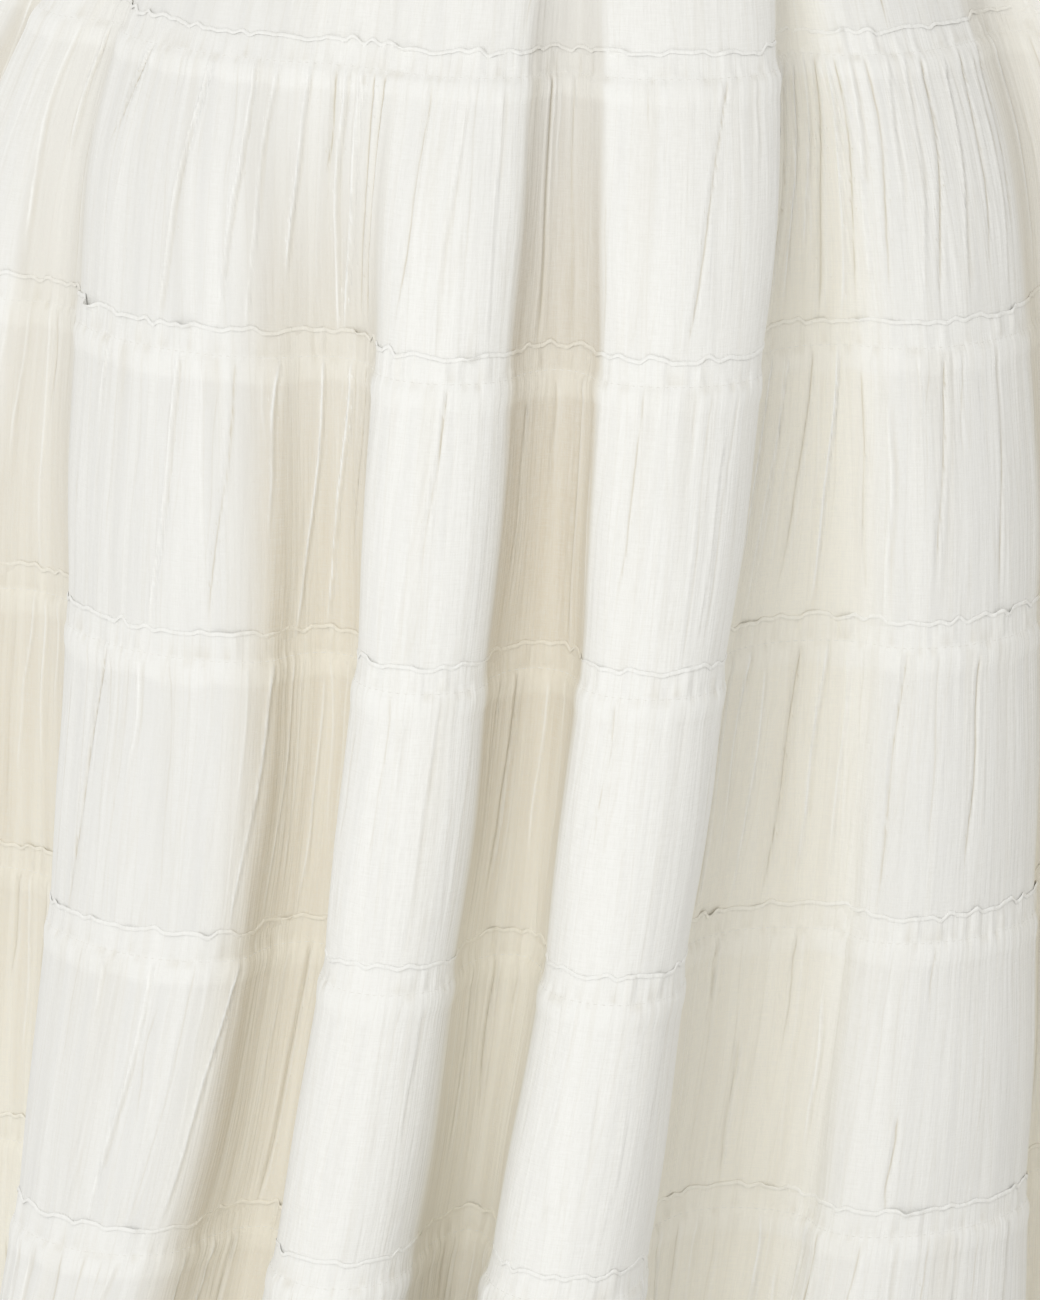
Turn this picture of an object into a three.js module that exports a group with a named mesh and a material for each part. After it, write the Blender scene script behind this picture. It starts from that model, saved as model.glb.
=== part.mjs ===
// Tiered ruffle skirt in crinkled cotton: an elastic waistband and seven gathered tiers,
// each a front and a back panel, worn and hollow, open at waist and hem.
// Millimetres, +Z up, front towards -Y. The origin is the centre of the waistband.
import * as THREE from 'three';

// Make of the skirt
const TIER_COUNT = 7;
const TIER_HEIGHT = 125; // seam to seam, down the cloth
const BAND_HEIGHT = 35;
const BAND_THICKNESS = 2.6;
const CLOTH = 1.2; // one crinkled layer
const SEAM_GAP = 0.3; // between a front and a back panel at the side seams
const LAYER_GAP = 0.4; // between a tier's outer face and the tier stitched over it
const HEADER = 12; // ruffled edge that stands free above each seam
const TAIL = 8; // edge that runs on under the tier or band outside it
const PUFF = 1.5; // how far the middle of a gathered tier springs out

// Ruffled headers: they lean out, and wave in and out round the skirt
const HEADER_LEAN = 2.6;
const HEADER_WAVE = 2.1;
const HEADER_WAVES = 30; // round one seam
const WAVE_SHIFT = 1.7; // radians that the waves move on from seam to seam

// Spread of the skirt, at the waist, at the middle of each tier and at the hem:
// depth down the cloth from the waist seam, and half the width and half the depth there
const SPREAD = [
  { down: -45, halfWidth: 118, halfDepth: 94 },
  { down: 0, halfWidth: 118, halfDepth: 94 },
  { down: 62.5, halfWidth: 156, halfDepth: 130 },
  { down: 187.5, halfWidth: 228, halfDepth: 204 },
  { down: 312.5, halfWidth: 288, halfDepth: 270 },
  { down: 437.5, halfWidth: 317, halfDepth: 304 },
  { down: 562.5, halfWidth: 334, halfDepth: 323 },
  { down: 687.5, halfWidth: 350, halfDepth: 341 },
  { down: 812.5, halfWidth: 365, halfDepth: 357 },
  { down: 875, halfWidth: 372, halfDepth: 364 },
];

// The hanging folds, in order round the skirt from its left front. Each column gives three
// values, at 250, 500 and 750 down the cloth: where the crest begins and ends, in degrees
// from the centre front towards +X, and how far the crest and the valley after it lie
// inside the spread.
const FOLD_LEVEL = { middle: 500, step: 250, highest: -1.2 };
const FOLDS = [
  { fold: 'A', begin: [-52, -47, -45], end: [-30, -26.5, -30.5], crest: [2, 8, -10], valley: [8, 46, 54] },
  { fold: 'B', begin: [-19, -18.8, -23.6], end: [-6.4, -9, -14.2], crest: [0, 0, 0], valley: [15, 43, 80] },
  { fold: 'C', begin: [-0.2, -1.5, -8], end: [17.1, 9.4, 3.3], crest: [0, 0, 0], valley: [42, 72, 104] },
  { fold: 'D', begin: [25, 25, 19], end: [42, 41, 38], crest: [22, 36, 46], valley: [34, 58, 82] },
  { fold: 'E', begin: [50, 48, 46], end: [66, 63, 61], crest: [0, 4, 6], valley: [28, 50, 70] },
  { fold: 'F', begin: [73, 70, 69], end: [90, 87, 84], crest: [2, 0, 0], valley: [22, 44, 60] },
  { fold: 'G', begin: [98, 94, 92], end: [113, 110, 108], crest: [0, 6, 4], valley: [30, 48, 72] },
  { fold: 'H', begin: [121, 118, 115], end: [140, 136, 133], crest: [4, 0, 2], valley: [20, 40, 58] },
  { fold: 'I', begin: [147, 144, 140], end: [161, 158, 156], crest: [0, 3, 5], valley: [26, 50, 66] },
  { fold: 'J', begin: [169, 166, 163], end: [187, 184, 180], crest: [2, 0, 0], valley: [24, 42, 62] },
  { fold: 'K', begin: [195, 191, 188], end: [210, 206, 203], crest: [0, 5, 6], valley: [30, 52, 74] },
  { fold: 'L', begin: [217, 214, 211], end: [235, 231, 228], crest: [3, 0, 0], valley: [22, 44, 60] },
  { fold: 'M', begin: [243, 239, 236], end: [258, 255, 252], crest: [0, 4, 5], valley: [28, 48, 68] },
  { fold: 'N', begin: [266, 262, 259], end: [284, 280, 277], crest: [2, 0, 0], valley: [24, 46, 64] },
  { fold: 'O', begin: [290, 288, 285], end: [301, 302, 300], crest: [4, 8, 10], valley: [18, 40, 60] },
];
const SEAM_FOLDS = { right: 'F', left: 'N' }; // side seams: where F's crest ends, where N's begins
const TURN_UNDER = 45; // a flank this deep stands square to the spread; a deeper one turns under
const MOST_TURN = 1.15;

// Columns of points round one fold
const CREST_COLUMNS = 4;
const VALLEY_COLUMNS = 4;
const FOLD_COLUMNS = CREST_COLUMNS + VALLEY_COLUMNS;
const COLUMNS = FOLDS.length * FOLD_COLUMNS;

const COTTON = { color: 0xf1efe8, roughness: 0.95, metalness: 0 };
const BAND_COTTON = { color: 0xedeae1, roughness: 0.95, metalness: 0 };

// The value of a fold's column at a depth: a smooth curve through its three levels,
// running on straight below them and held from just above them up to the waist.
function atLevel([upper, middle, lower], down) {
  const x = Math.max(FOLD_LEVEL.highest, (down - FOLD_LEVEL.middle) / FOLD_LEVEL.step);
  const slope = (lower - upper) / 2;
  const bend = (upper - 2 * middle + lower) / 2;
  if (x > 1) return lower + (x - 1) * (slope + 2 * bend);
  if (x < -1) return upper + (x + 1) * (slope - 2 * bend);
  return middle + x * slope + x * x * bend;
}

// How the folds lie at a depth; towards the waist they flatten out.
function foldsAt(down) {
  const share = Math.min(1, Math.max(0, down / (FOLD_LEVEL.middle - FOLD_LEVEL.step)));
  const deep = Math.max(down, FOLD_LEVEL.middle - FOLD_LEVEL.step);
  return FOLDS.map((fold) => ({
    begin: atLevel(fold.begin, down),
    end: atLevel(fold.end, down),
    crest: atLevel(fold.crest, deep) * share,
    valley: atLevel(fold.valley, deep) * share,
  }));
}

// One crest or valley as an arc of points: angle round the skirt, and inset from the spread.
function arc(from, to, columns) {
  const points = [];
  for (let i = 0; i < columns; i += 1) {
    const u = i / columns;
    const turn = from.turn + (to.turn - from.turn) * u;
    const across = (1 - turn) * (u - 0.5) - (turn * Math.cos(Math.PI * u)) / 2;
    const base = from.inset + (to.inset - from.inset) * u;
    points.push({
      angle: (from.angle + to.angle) / 2 + (to.angle - from.angle) * across,
      inset: base + (from.peak - base) * Math.sin(Math.PI * u),
    });
  }
  return points;
}

// The ring of cloth at one row of SPREAD, as points in plan.
function ringAt({ down, halfWidth, halfDepth }) {
  const folds = foldsAt(down);
  const turnOf = (deep, high) => Math.min(MOST_TURN, Math.max(0, (deep - high) / TURN_UNDER));
  const points = folds.flatMap((fold, i) => {
    const before = folds[(i + folds.length - 1) % folds.length];
    const after = folds[(i + 1) % folds.length];
    const lap = i === folds.length - 1 ? 360 : 0;
    const meet = (valley, crest) => ({ inset: (valley + crest) / 2, turn: turnOf(valley, crest) });
    const begin = { angle: fold.begin, peak: fold.crest, ...meet(before.valley, fold.crest) };
    const end = { angle: fold.end, peak: fold.valley, ...meet(fold.valley, fold.crest) };
    const next = { angle: after.begin + lap, ...meet(fold.valley, after.crest) };
    return [...arc(begin, end, CREST_COLUMNS), ...arc(end, next, VALLEY_COLUMNS)];
  });
  return points.map(({ angle, inset }) => {
    const turned = THREE.MathUtils.degToRad(angle);
    return new THREE.Vector2((halfWidth - inset) * Math.sin(turned), -(halfDepth - inset) * Math.cos(turned));
  });
}

// Heights of the rings: each stretch of cloth keeps its length as the skirt spreads.
function ringHeights() {
  const reach = SPREAD.map((row) => (row.halfWidth + row.halfDepth) / 2);
  const seam = SPREAD.findIndex((row) => row.down === 0);
  const heights = SPREAD.map(() => -BAND_HEIGHT / 2);
  heights[0] += SPREAD[seam].down - SPREAD[0].down;
  for (let i = seam + 1; i < SPREAD.length; i += 1) {
    const length = SPREAD[i].down - SPREAD[i - 1].down;
    heights[i] = heights[i - 1] - Math.sqrt(length ** 2 - (reach[i] - reach[i - 1]) ** 2);
  }
  return heights;
}

// The cloth's surface: a grid of points and outward normals, a row for each ring.
function clothSurface() {
  const heights = ringHeights();
  const points = SPREAD.map((row, r) => ringAt(row).map((p) => new THREE.Vector3(p.x, p.y, heights[r])));
  const normals = points.map((ring, r) => ring.map((point, c) => {
    const above = points[Math.max(0, r - 1)][c];
    const below = points[Math.min(points.length - 1, r + 1)][c];
    const round = ring[(c + 1) % COLUMNS].clone().sub(ring[(c + COLUMNS - 1) % COLUMNS]);
    return below.clone().sub(above).cross(round).normalize();
  }));
  return { points, normals };
}

const SURFACE = clothSurface();

// A point on the cloth: column round, depth down, and how far outside the surface.
function onCloth(column, down, out) {
  let r = SPREAD.findIndex((row) => row.down > down) - 1;
  if (r < 0) r = SPREAD.length - 2;
  const t = (down - SPREAD[r].down) / (SPREAD[r + 1].down - SPREAD[r].down);
  const c = column % COLUMNS;
  const point = SURFACE.points[r][c].clone().lerp(SURFACE.points[r + 1][c], t);
  const normal = SURFACE.normals[r][c].clone().lerp(SURFACE.normals[r + 1][c], t).normalize();
  return point.addScaledVector(normal, out);
}

// A closed wall through rows of { down, out(column), bow }, over a run of columns.
// A closed ring joins its last column to its first; a panel has side edges,
// each drawn in by half the seam gap. Four corners rarely lie flat: below a row
// with bow 1 their two triangles fold outwards, and below one with bow -1 inwards,
// so that two layers of cloth stay clear of each other.
function wall(rows, firstColumn, columnCount, thickness, ringed) {
  const perRow = ringed ? columnCount : columnCount + 1;
  const grid = (extra) => rows.map((row) => {
    const line = [];
    for (let i = 0; i < perRow; i += 1) {
      line.push(onCloth(firstColumn + i, row.down, row.out(firstColumn + i) + extra));
    }
    if (!ringed) {
      drawIn(line[0], line[1]);
      drawIn(line[perRow - 1], line[perRow - 2]);
    }
    return line;
  });
  const outside = grid(thickness);
  const vertices = [...grid(0).flat(), ...outside.flat()];
  const inner = (r, c) => r * perRow + (c % perRow);
  const outer = (r, c) => rows.length * perRow + inner(r, c);
  const index = [];
  const quad = (a, b, c, d, otherWay = false) => {
    index.push(...(otherWay ? [a, b, d, b, c, d] : [a, b, c, a, c, d]));
  };
  const last = rows.length - 1;
  for (let c = 0; c < columnCount; c += 1) {
    const next = (c + 1) % perRow;
    for (let r = 0; r < last; r += 1) {
      const corners = [outside[r][c], outside[r + 1][c], outside[r + 1][next], outside[r][next]];
      const otherWay = foldsOutwards(corners) !== (rows[r].bow > 0);
      quad(outer(r, c), outer(r + 1, c), outer(r + 1, c + 1), outer(r, c + 1), otherWay);
      quad(inner(r + 1, c), inner(r, c), inner(r, c + 1), inner(r + 1, c + 1), !otherWay);
    }
    quad(inner(0, c), outer(0, c), outer(0, c + 1), inner(0, c + 1));
    quad(outer(last, c), inner(last, c), inner(last, c + 1), outer(last, c + 1));
  }
  const edge = columnCount;
  for (let r = 0; r < last && !ringed; r += 1) {
    quad(inner(r, 0), inner(r + 1, 0), outer(r + 1, 0), outer(r, 0));
    quad(inner(r + 1, edge), inner(r, edge), outer(r, edge), outer(r + 1, edge));
  }
  const geometry = new THREE.BufferGeometry();
  const numbers = vertices.flatMap((vertex) => vertex.toArray());
  geometry.setAttribute('position', new THREE.Float32BufferAttribute(numbers, 3));
  geometry.setIndex(index);
  geometry.computeVertexNormals();
  return geometry;
}

// Whether the first diagonal of four outer corners lies outside the second.
function foldsOutwards([a, b, c, d]) {
  const outwards = b.clone().sub(a).cross(d.clone().sub(a));
  const lift = a.clone().add(c).sub(b).sub(d);
  return lift.dot(outwards) > 0;
}

function drawIn(edge, neighbour) {
  edge.lerp(neighbour, SEAM_GAP / 2 / edge.distanceTo(neighbour));
}

// How far a header stands out at a column of a seam.
function headerOut(seam, column) {
  const turn = (2 * Math.PI * HEADER_WAVES * column) / COLUMNS;
  return HEADER_LEAN + HEADER_WAVE * Math.sin(turn + WAVE_SHIFT * seam);
}

// Rows of one tier, from its upper edge to its lower one.
function tierRows(tier) {
  const seam = (tier - 1) * TIER_HEIGHT;
  const outside = CLOTH + LAYER_GAP;
  const hem = tier === TIER_COUNT;
  const upper = tier === 1
    ? [{ down: -TAIL, out: () => 0, bow: -1 }, { down: seam, out: () => 0, bow: -1 }]
    : [
      { down: seam - HEADER, out: (column) => outside + headerOut(tier, column), bow: 1 },
      { down: seam, out: () => outside, bow: 1 },
    ];
  return [
    ...upper,
    { down: seam + TIER_HEIGHT / 2, out: () => outside / 2 + PUFF, bow: -1 },
    { down: seam + TIER_HEIGHT + (hem ? 0 : TAIL), out: () => 0 },
  ];
}

function piece(name, geometry, finish) {
  const mesh = new THREE.Mesh(geometry, new THREE.MeshStandardMaterial(finish));
  mesh.name = name;
  return mesh;
}

function waistband() {
  const rows = [
    { down: -BAND_HEIGHT, out: () => CLOTH + LAYER_GAP, bow: 1 },
    { down: 0, out: () => CLOTH + LAYER_GAP },
  ];
  return piece('waistband', wall(rows, 0, COLUMNS, BAND_THICKNESS, true), BAND_COTTON);
}

function tier(number) {
  const foldColumn = (name) => FOLDS.findIndex((row) => row.fold === name) * FOLD_COLUMNS;
  const right = foldColumn(SEAM_FOLDS.right) + CREST_COLUMNS;
  const left = foldColumn(SEAM_FOLDS.left);
  const rows = tierRows(number);
  const group = new THREE.Group();
  group.add(piece(`tier_${number}_front`, wall(rows, left, COLUMNS - left + right, CLOTH, false), COTTON));
  group.add(piece(`tier_${number}_back`, wall(rows, right, left - right, CLOTH, false), COTTON));
  return group;
}

const skirt = new THREE.Group();
skirt.add(waistband());
for (let number = 1; number <= TIER_COUNT; number += 1) {
  skirt.add(tier(number));
}

export default skirt;
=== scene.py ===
"""Dresses the tiered ruffle skirt: crinkled cotton tiers with standing ruffles, on the fixed frame.

Lengths are millimetres until a mesh is made, and angles degrees. A place round the skirt is a
number of arcs: fold n's crest runs from 2n to 2n + 1, and the valley after it from there to 2n + 2.
A depth is measured down the cloth from the waist seam.
"""
import logging
import math
from dataclasses import dataclass
from enum import Enum

import bmesh
import bpy
import numpy as np
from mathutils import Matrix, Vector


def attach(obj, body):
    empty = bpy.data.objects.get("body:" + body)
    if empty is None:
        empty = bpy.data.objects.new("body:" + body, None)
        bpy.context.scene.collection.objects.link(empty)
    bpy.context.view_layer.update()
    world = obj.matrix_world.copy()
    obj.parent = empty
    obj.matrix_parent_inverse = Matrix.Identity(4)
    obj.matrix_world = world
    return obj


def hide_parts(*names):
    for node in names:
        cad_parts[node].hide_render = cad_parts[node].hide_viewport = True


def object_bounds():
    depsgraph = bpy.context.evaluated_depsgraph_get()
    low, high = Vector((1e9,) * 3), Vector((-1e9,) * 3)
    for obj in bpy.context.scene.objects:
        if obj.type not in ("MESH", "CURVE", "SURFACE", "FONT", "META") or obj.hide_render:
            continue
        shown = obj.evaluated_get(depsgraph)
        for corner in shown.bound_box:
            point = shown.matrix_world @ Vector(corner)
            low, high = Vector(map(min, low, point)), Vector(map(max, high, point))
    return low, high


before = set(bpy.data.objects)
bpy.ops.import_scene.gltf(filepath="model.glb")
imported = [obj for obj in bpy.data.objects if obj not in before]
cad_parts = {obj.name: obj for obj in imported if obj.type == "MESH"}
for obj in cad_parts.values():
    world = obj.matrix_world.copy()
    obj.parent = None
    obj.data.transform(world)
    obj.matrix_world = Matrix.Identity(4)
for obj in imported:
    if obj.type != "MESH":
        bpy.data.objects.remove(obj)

MM = 0.001
# Length of a noise's streaks where it is to change round the cloth only.
ALL_ALONG = 500.0
CAD_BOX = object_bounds()
log = logging.getLogger("skirt")


class Side(Enum):
    """The two panels that each tier is cut in."""

    FRONT = "front"
    BACK = "back"


class Slot(Enum):
    """The record's material slots."""

    GAUZE = "cotton_gauze"
    BAND = "band_cotton"


def smooth_step(x: np.ndarray) -> np.ndarray:
    """A soft step from 0 at x = 0 to 1 at x = 1."""
    x = np.clip(x, 0.0, 1.0)
    return x * x * (3.0 - 2.0 * x)


def bell(x: np.ndarray) -> np.ndarray:
    """A soft hump, 1 at x = 0 and nearly nothing past 2."""
    return np.exp(-x * x)


def through(knots: np.ndarray, values: np.ndarray, at: np.ndarray) -> np.ndarray:
    """A smooth curve through knots that never overshoots them.

    Args:
        knots: rising places of the knots.
        values: the curve's value at each.
        at: where it is read.

    Returns:
        The curve's values at those places.
    """
    step = np.diff(knots)
    rise = np.diff(values) / step
    slope = np.zeros(len(knots))
    same_way = rise[:-1] * rise[1:] > 0
    safe = np.where(same_way, rise[:-1] + rise[1:], 1.0)
    slope[1:-1] = np.where(same_way, 2.0 * rise[:-1] * rise[1:] / safe, 0.0)
    slope[0], slope[-1] = rise[0], rise[-1]
    i = np.clip(np.searchsorted(knots, at, side="right") - 1, 0, len(step) - 1)
    t = (at - knots[i]) / step[i]
    return (
        values[i] * (1 + 2 * t) * (1 - t) ** 2
        + values[i + 1] * t * t * (3 - 2 * t)
        + step[i] * (slope[i] * t * (1 - t) ** 2 - slope[i + 1] * t * t * (1 - t))
    )


def unit(vectors: np.ndarray) -> np.ndarray:
    """The vectors at length 1."""
    return vectors / np.linalg.norm(vectors, axis=-1, keepdims=True)


def level_out(points: np.ndarray) -> np.ndarray:
    """Level directions from the skirt's axis to the points."""
    return unit(points * np.array([1.0, 1.0, 0.0]))


def run_along(path: np.ndarray) -> np.ndarray:
    """Length of a path up to each of its points."""
    return np.concatenate([[0.0], np.cumsum(np.linalg.norm(np.diff(path, axis=0), axis=1))])


@dataclass(frozen=True)
class Noise:
    """Seeded noise over the cloth, in streaks of a given size.

    Attributes:
        across: millimetres from streak to streak round the skirt.
        along: millimetres that a streak runs down the cloth.
        seed: which noise it is.
    """

    across: float
    along: float
    seed: int

    def __call__(self, u: np.ndarray, v: np.ndarray) -> np.ndarray:
        """The noise at places u round and v down, from -1 to 1.

        Args:
            u: millimetres round the cloth.
            v: millimetres down it.

        Returns:
            A value for each place.
        """
        margin = 200.0
        x, y = (u + margin) / self.across, (v + margin) / self.along
        lattice = np.random.default_rng(self.seed).uniform(
            -1.0, 1.0, (int(y.max()) + 3, int(x.max()) + 3)
        )
        column, row = x.astype(int), y.astype(int)
        s, t = smooth_step(x - column), smooth_step(y - row)
        upper = lattice[row, column] * (1 - s) + lattice[row, column + 1] * s
        lower = lattice[row + 1, column] * (1 - s) + lattice[row + 1, column + 1] * s
        return upper * (1 - t) + lower * t


Triple = tuple[float, float, float]


@dataclass(frozen=True)
class SpreadRow:
    """Half the skirt's width and half its depth, at one depth down the cloth."""

    down: float
    half_width: float
    half_depth: float


@dataclass(frozen=True)
class HangingFold:
    """One fold that hangs down the skirt, at 250, 500 and 750 down the cloth.

    Attributes:
        name: its letter.
        begin: where its crest begins, in degrees from the centre front towards +X.
        end: where its crest ends.
        crest: how far the crest lies inside the spread.
        valley: how far the valley after it lies inside the spread.
        sheer_shade: how strongly painted shade of the skirt's inside shows through the thin single layer, on
            the crest, in a shallow valley and in a deep one.
        soft: how softly the painted shade of the valley begins and ends, as shares of an arc.
    """

    name: str
    begin: Triple
    end: Triple
    crest: Triple
    valley: Triple
    sheer_shade: Triple = (0.3, 0.6, 0.1)
    soft: tuple[float, float] = (0.15, 0.2)


SPREAD = (
    SpreadRow(-45, 118, 94),
    SpreadRow(0, 118, 94),
    SpreadRow(62.5, 156, 130),
    SpreadRow(187.5, 228, 204),
    SpreadRow(312.5, 288, 270),
    SpreadRow(437.5, 317, 304),
    SpreadRow(562.5, 334, 323),
    SpreadRow(687.5, 350, 341),
    SpreadRow(812.5, 365, 357),
    SpreadRow(875, 372, 364),
)

FOLDS = (
    HangingFold(
        "A", (-52, -47, -45), (-30, -26.5, -30.5), (2, 8, -10), (10, 46, 54), (0.95, 0.6, 0.42), (0.28, 0.2)
    ),
    HangingFold(
        "B", (-19, -18.8, -23.6), (-6.4, -9, -14.2), (0, 0, 0), (19, 45, 80), (0.15, 0.88, 0.25), (0.12, 0.12)
    ),
    HangingFold(
        "C", (-0.2, -1.5, -8), (17.1, 9.4, 3.3), (0, 0, 0), (42, 72, 104), (0.05, 0.0, 0.0), (0.1, 0.5)
    ),
    HangingFold("D", (25, 25, 19), (42, 41, 38), (22, 36, 46), (34, 58, 82), (0.5, 0.4, 0.1)),
    HangingFold("E", (50, 48, 46), (66, 63, 61), (0, 4, 6), (28, 50, 70)),
    HangingFold("F", (73, 70, 69), (90, 87, 84), (2, 0, 0), (22, 44, 60), (0.1, 0.7, 0.1)),
    HangingFold("G", (98, 94, 92), (113, 110, 108), (0, 6, 4), (30, 48, 72)),
    HangingFold("H", (121, 118, 115), (140, 136, 133), (4, 0, 2), (20, 40, 58), (0.5, 0.7, 0.1)),
    HangingFold("I", (147, 144, 140), (161, 158, 156), (0, 3, 5), (26, 50, 66), (0.1, 0.5, 0.1)),
    HangingFold("J", (169, 166, 163), (187, 184, 180), (2, 0, 0), (24, 42, 62)),
    HangingFold("K", (195, 191, 188), (210, 206, 203), (0, 5, 6), (30, 52, 74), (0.5, 0.8, 0.1)),
    HangingFold("L", (217, 214, 211), (235, 231, 228), (3, 0, 0), (22, 44, 60), (0.1, 0.5, 0.1)),
    HangingFold("M", (243, 239, 236), (258, 255, 252), (0, 4, 5), (28, 48, 68)),
    HangingFold("N", (266, 262, 259), (284, 280, 277), (2, 0, 0), (24, 46, 64), (0.1, 0.7, 0.1)),
    HangingFold("O", (290, 288, 285), (301, 302, 300), (4, 8, 10), (18, 40, 60), (0.4, 0.5, 0.1)),
)


def fold_place(name: str, across: float) -> float:
    """A place round the skirt: across is 0 to 1 over the fold's crest, 1 to 2 over the valley after it."""
    return 2 * [fold.name for fold in FOLDS].index(name) + across


@dataclass(frozen=True)
class SkirtForm:
    """The hanging skirt's surface, without its crinkles.

    Attributes:
        band_height: height of the waistband, whose middle is the origin.
        level_middle: depth of the folds' middle level.
        level_step: from there to the upper and the lower level.
        level_top: highest level that moves a fold sideways, in steps from the middle.
        level_ease: how softly the levels above that one stop moving it.
        turn_depth: depth of a flank that stands square to the spread.
        most_turn: how far a deeper one turns under.
        softness: millimetres over which the folds are rounded off.
        shallow: depth from which a valley takes painted shade.
        shows_over: how much deeper the painted shade of the skirt's inside shows through its cloth in full.
        warm_shade_over: how much deeper its painted shade is fully beige.
        deep_from: depth from which a valley counts as deep.
        deep_over: how much deeper it is fully so.
        past_valley: how far a valley's painted shade reaches past its end, in arcs.
        past_crest: how far a crest's painted see-through shade reaches past its ends.
        crest_shade_share: share of a crest's painted see-through shade that shows.
    """

    band_height: float = 35.0
    level_middle: float = 500.0
    level_step: float = 250.0
    level_top: float = -1.2
    level_ease: float = 0.02
    turn_depth: float = 45.0
    most_turn: float = 1.15
    softness: float = 4.0
    shallow: float = 3.0
    shows_over: float = 24.0
    warm_shade_over: float = 40.0
    deep_from: float = 34.0
    deep_over: float = 32.0
    past_valley: float = 0.12
    past_crest: float = 0.15
    crest_shade_share: float = 0.3

    def heights(self) -> np.ndarray:
        """Height of each row of SPREAD: each stretch of cloth keeps its length."""
        down = np.array([row.down for row in SPREAD], float)
        reach = np.array([(row.half_width + row.half_depth) / 2 for row in SPREAD])
        drop = np.sqrt(np.diff(down) ** 2 - np.diff(reach) ** 2)
        below_seam = np.concatenate([[0.0], np.cumsum(drop)])
        return -self.band_height / 2 - below_seam + below_seam[1]

    def level(self, values: np.ndarray, x: np.ndarray) -> np.ndarray:
        """The folds' values at levels x, from their three given ones.

        Args:
            values: a row of three for each fold.
            x: levels, in steps down from the middle one.

        Returns:
            A row for each level, with a column for each fold.
        """
        upper, middle, lower = values.T
        slope, bend = (lower - upper) / 2, (upper - 2 * middle + lower) / 2
        x = x[:, None]
        within = np.clip(x, -1.0, 1.0)
        past = (x - within) * (slope + 2 * within * bend)
        return middle + within * slope + within**2 * bend + past

    def arcs(self, down: np.ndarray) -> dict[str, np.ndarray]:
        """Every crest and valley at each depth: a row for each depth, a column for each arc.

        Args:
            down: depths down the cloth.

        Returns:
            The arcs' ends, peaks, insets and turns, by name.
        """
        x = (down - self.level_middle) / self.level_step
        above = x - self.level_top
        soft = self.level_top + 0.5 * (above + np.sqrt(above**2 + self.level_ease))
        share = np.clip(down / (self.level_middle - self.level_step), 0.0, 1.0)[:, None]
        deep = np.maximum(x, -1.0)

        def read(name: str, at: np.ndarray) -> np.ndarray:
            """One value of every fold at the given levels."""
            return self.level(np.array([getattr(fold, name) for fold in FOLDS], float), at)

        begin, end = read("begin", soft), read("end", soft)
        crest, valley = read("crest", deep) * share, read("valley", deep) * share
        before = np.roll(valley, 1, axis=1)
        after = np.roll(crest, -1, axis=1)
        next_begin = np.roll(begin, -1, axis=1)
        next_begin[:, -1] += 360.0

        def both(first: np.ndarray, second: np.ndarray) -> np.ndarray:
            """Crests' and valleys' values in turn."""
            return np.stack([first, second], axis=2).reshape(len(down), -1)

        def turn(deep_side: np.ndarray, high_side: np.ndarray) -> np.ndarray:
            """How far a flank turns under."""
            return np.clip((deep_side - high_side) / self.turn_depth, 0.0, self.most_turn)

        return {
            "from": both(begin, end),
            "to": both(end, next_begin),
            "peak": both(crest, valley),
            "inset_from": both((before + crest) / 2, (valley + crest) / 2),
            "inset_to": both((valley + crest) / 2, (valley + after) / 2),
            "turn_from": both(turn(before, crest), turn(valley, crest)),
            "turn_to": both(turn(valley, crest), turn(valley, after)),
        }

    def spread(self, down: np.ndarray) -> tuple[np.ndarray, np.ndarray, np.ndarray]:
        """Half the spread's width, half its depth and its height, at depths down the cloth.

        Args:
            down: depths down the cloth.

        Returns:
            The three, with a value for each depth.
        """
        knots = np.array([row.down for row in SPREAD], float)
        half_width = np.array([row.half_width for row in SPREAD], float)
        half_depth = np.array([row.half_depth for row in SPREAD], float)
        return (
            through(knots, half_width, down),
            through(knots, half_depth, down),
            through(knots, self.heights(), down),
        )

    def points(self, place: np.ndarray, down: np.ndarray) -> np.ndarray:
        """Points of the surface, a row for each depth and a column for each place.

        Args:
            place: places round the skirt.
            down: depths down the cloth.

        Returns:
            The points, in millimetres.
        """
        arcs = self.arcs(down)
        whole = np.floor(place).astype(int)
        count = 2 * len(FOLDS)
        laps = 360.0 * (whole // count)
        part = {name: values[:, whole % count] for name, values in arcs.items()}
        u = (place - whole)[None, :]
        turn = part["turn_from"] + (part["turn_to"] - part["turn_from"]) * u
        across = (1 - turn) * (u - 0.5) - turn * np.cos(np.pi * u) / 2
        angle = (part["from"] + part["to"]) / 2 + (part["to"] - part["from"]) * across + laps
        base = part["inset_from"] + (part["inset_to"] - part["inset_from"]) * u
        inset = base + (part["peak"] - base) * np.sin(np.pi * u)
        width, depth, height = (values[:, None] for values in self.spread(down))
        turned = np.radians(angle)
        return np.stack(
            [
                (width - inset) * np.sin(turned),
                -(depth - inset) * np.cos(turned),
                np.broadcast_to(height, turned.shape),
            ],
            axis=-1,
        )

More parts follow.
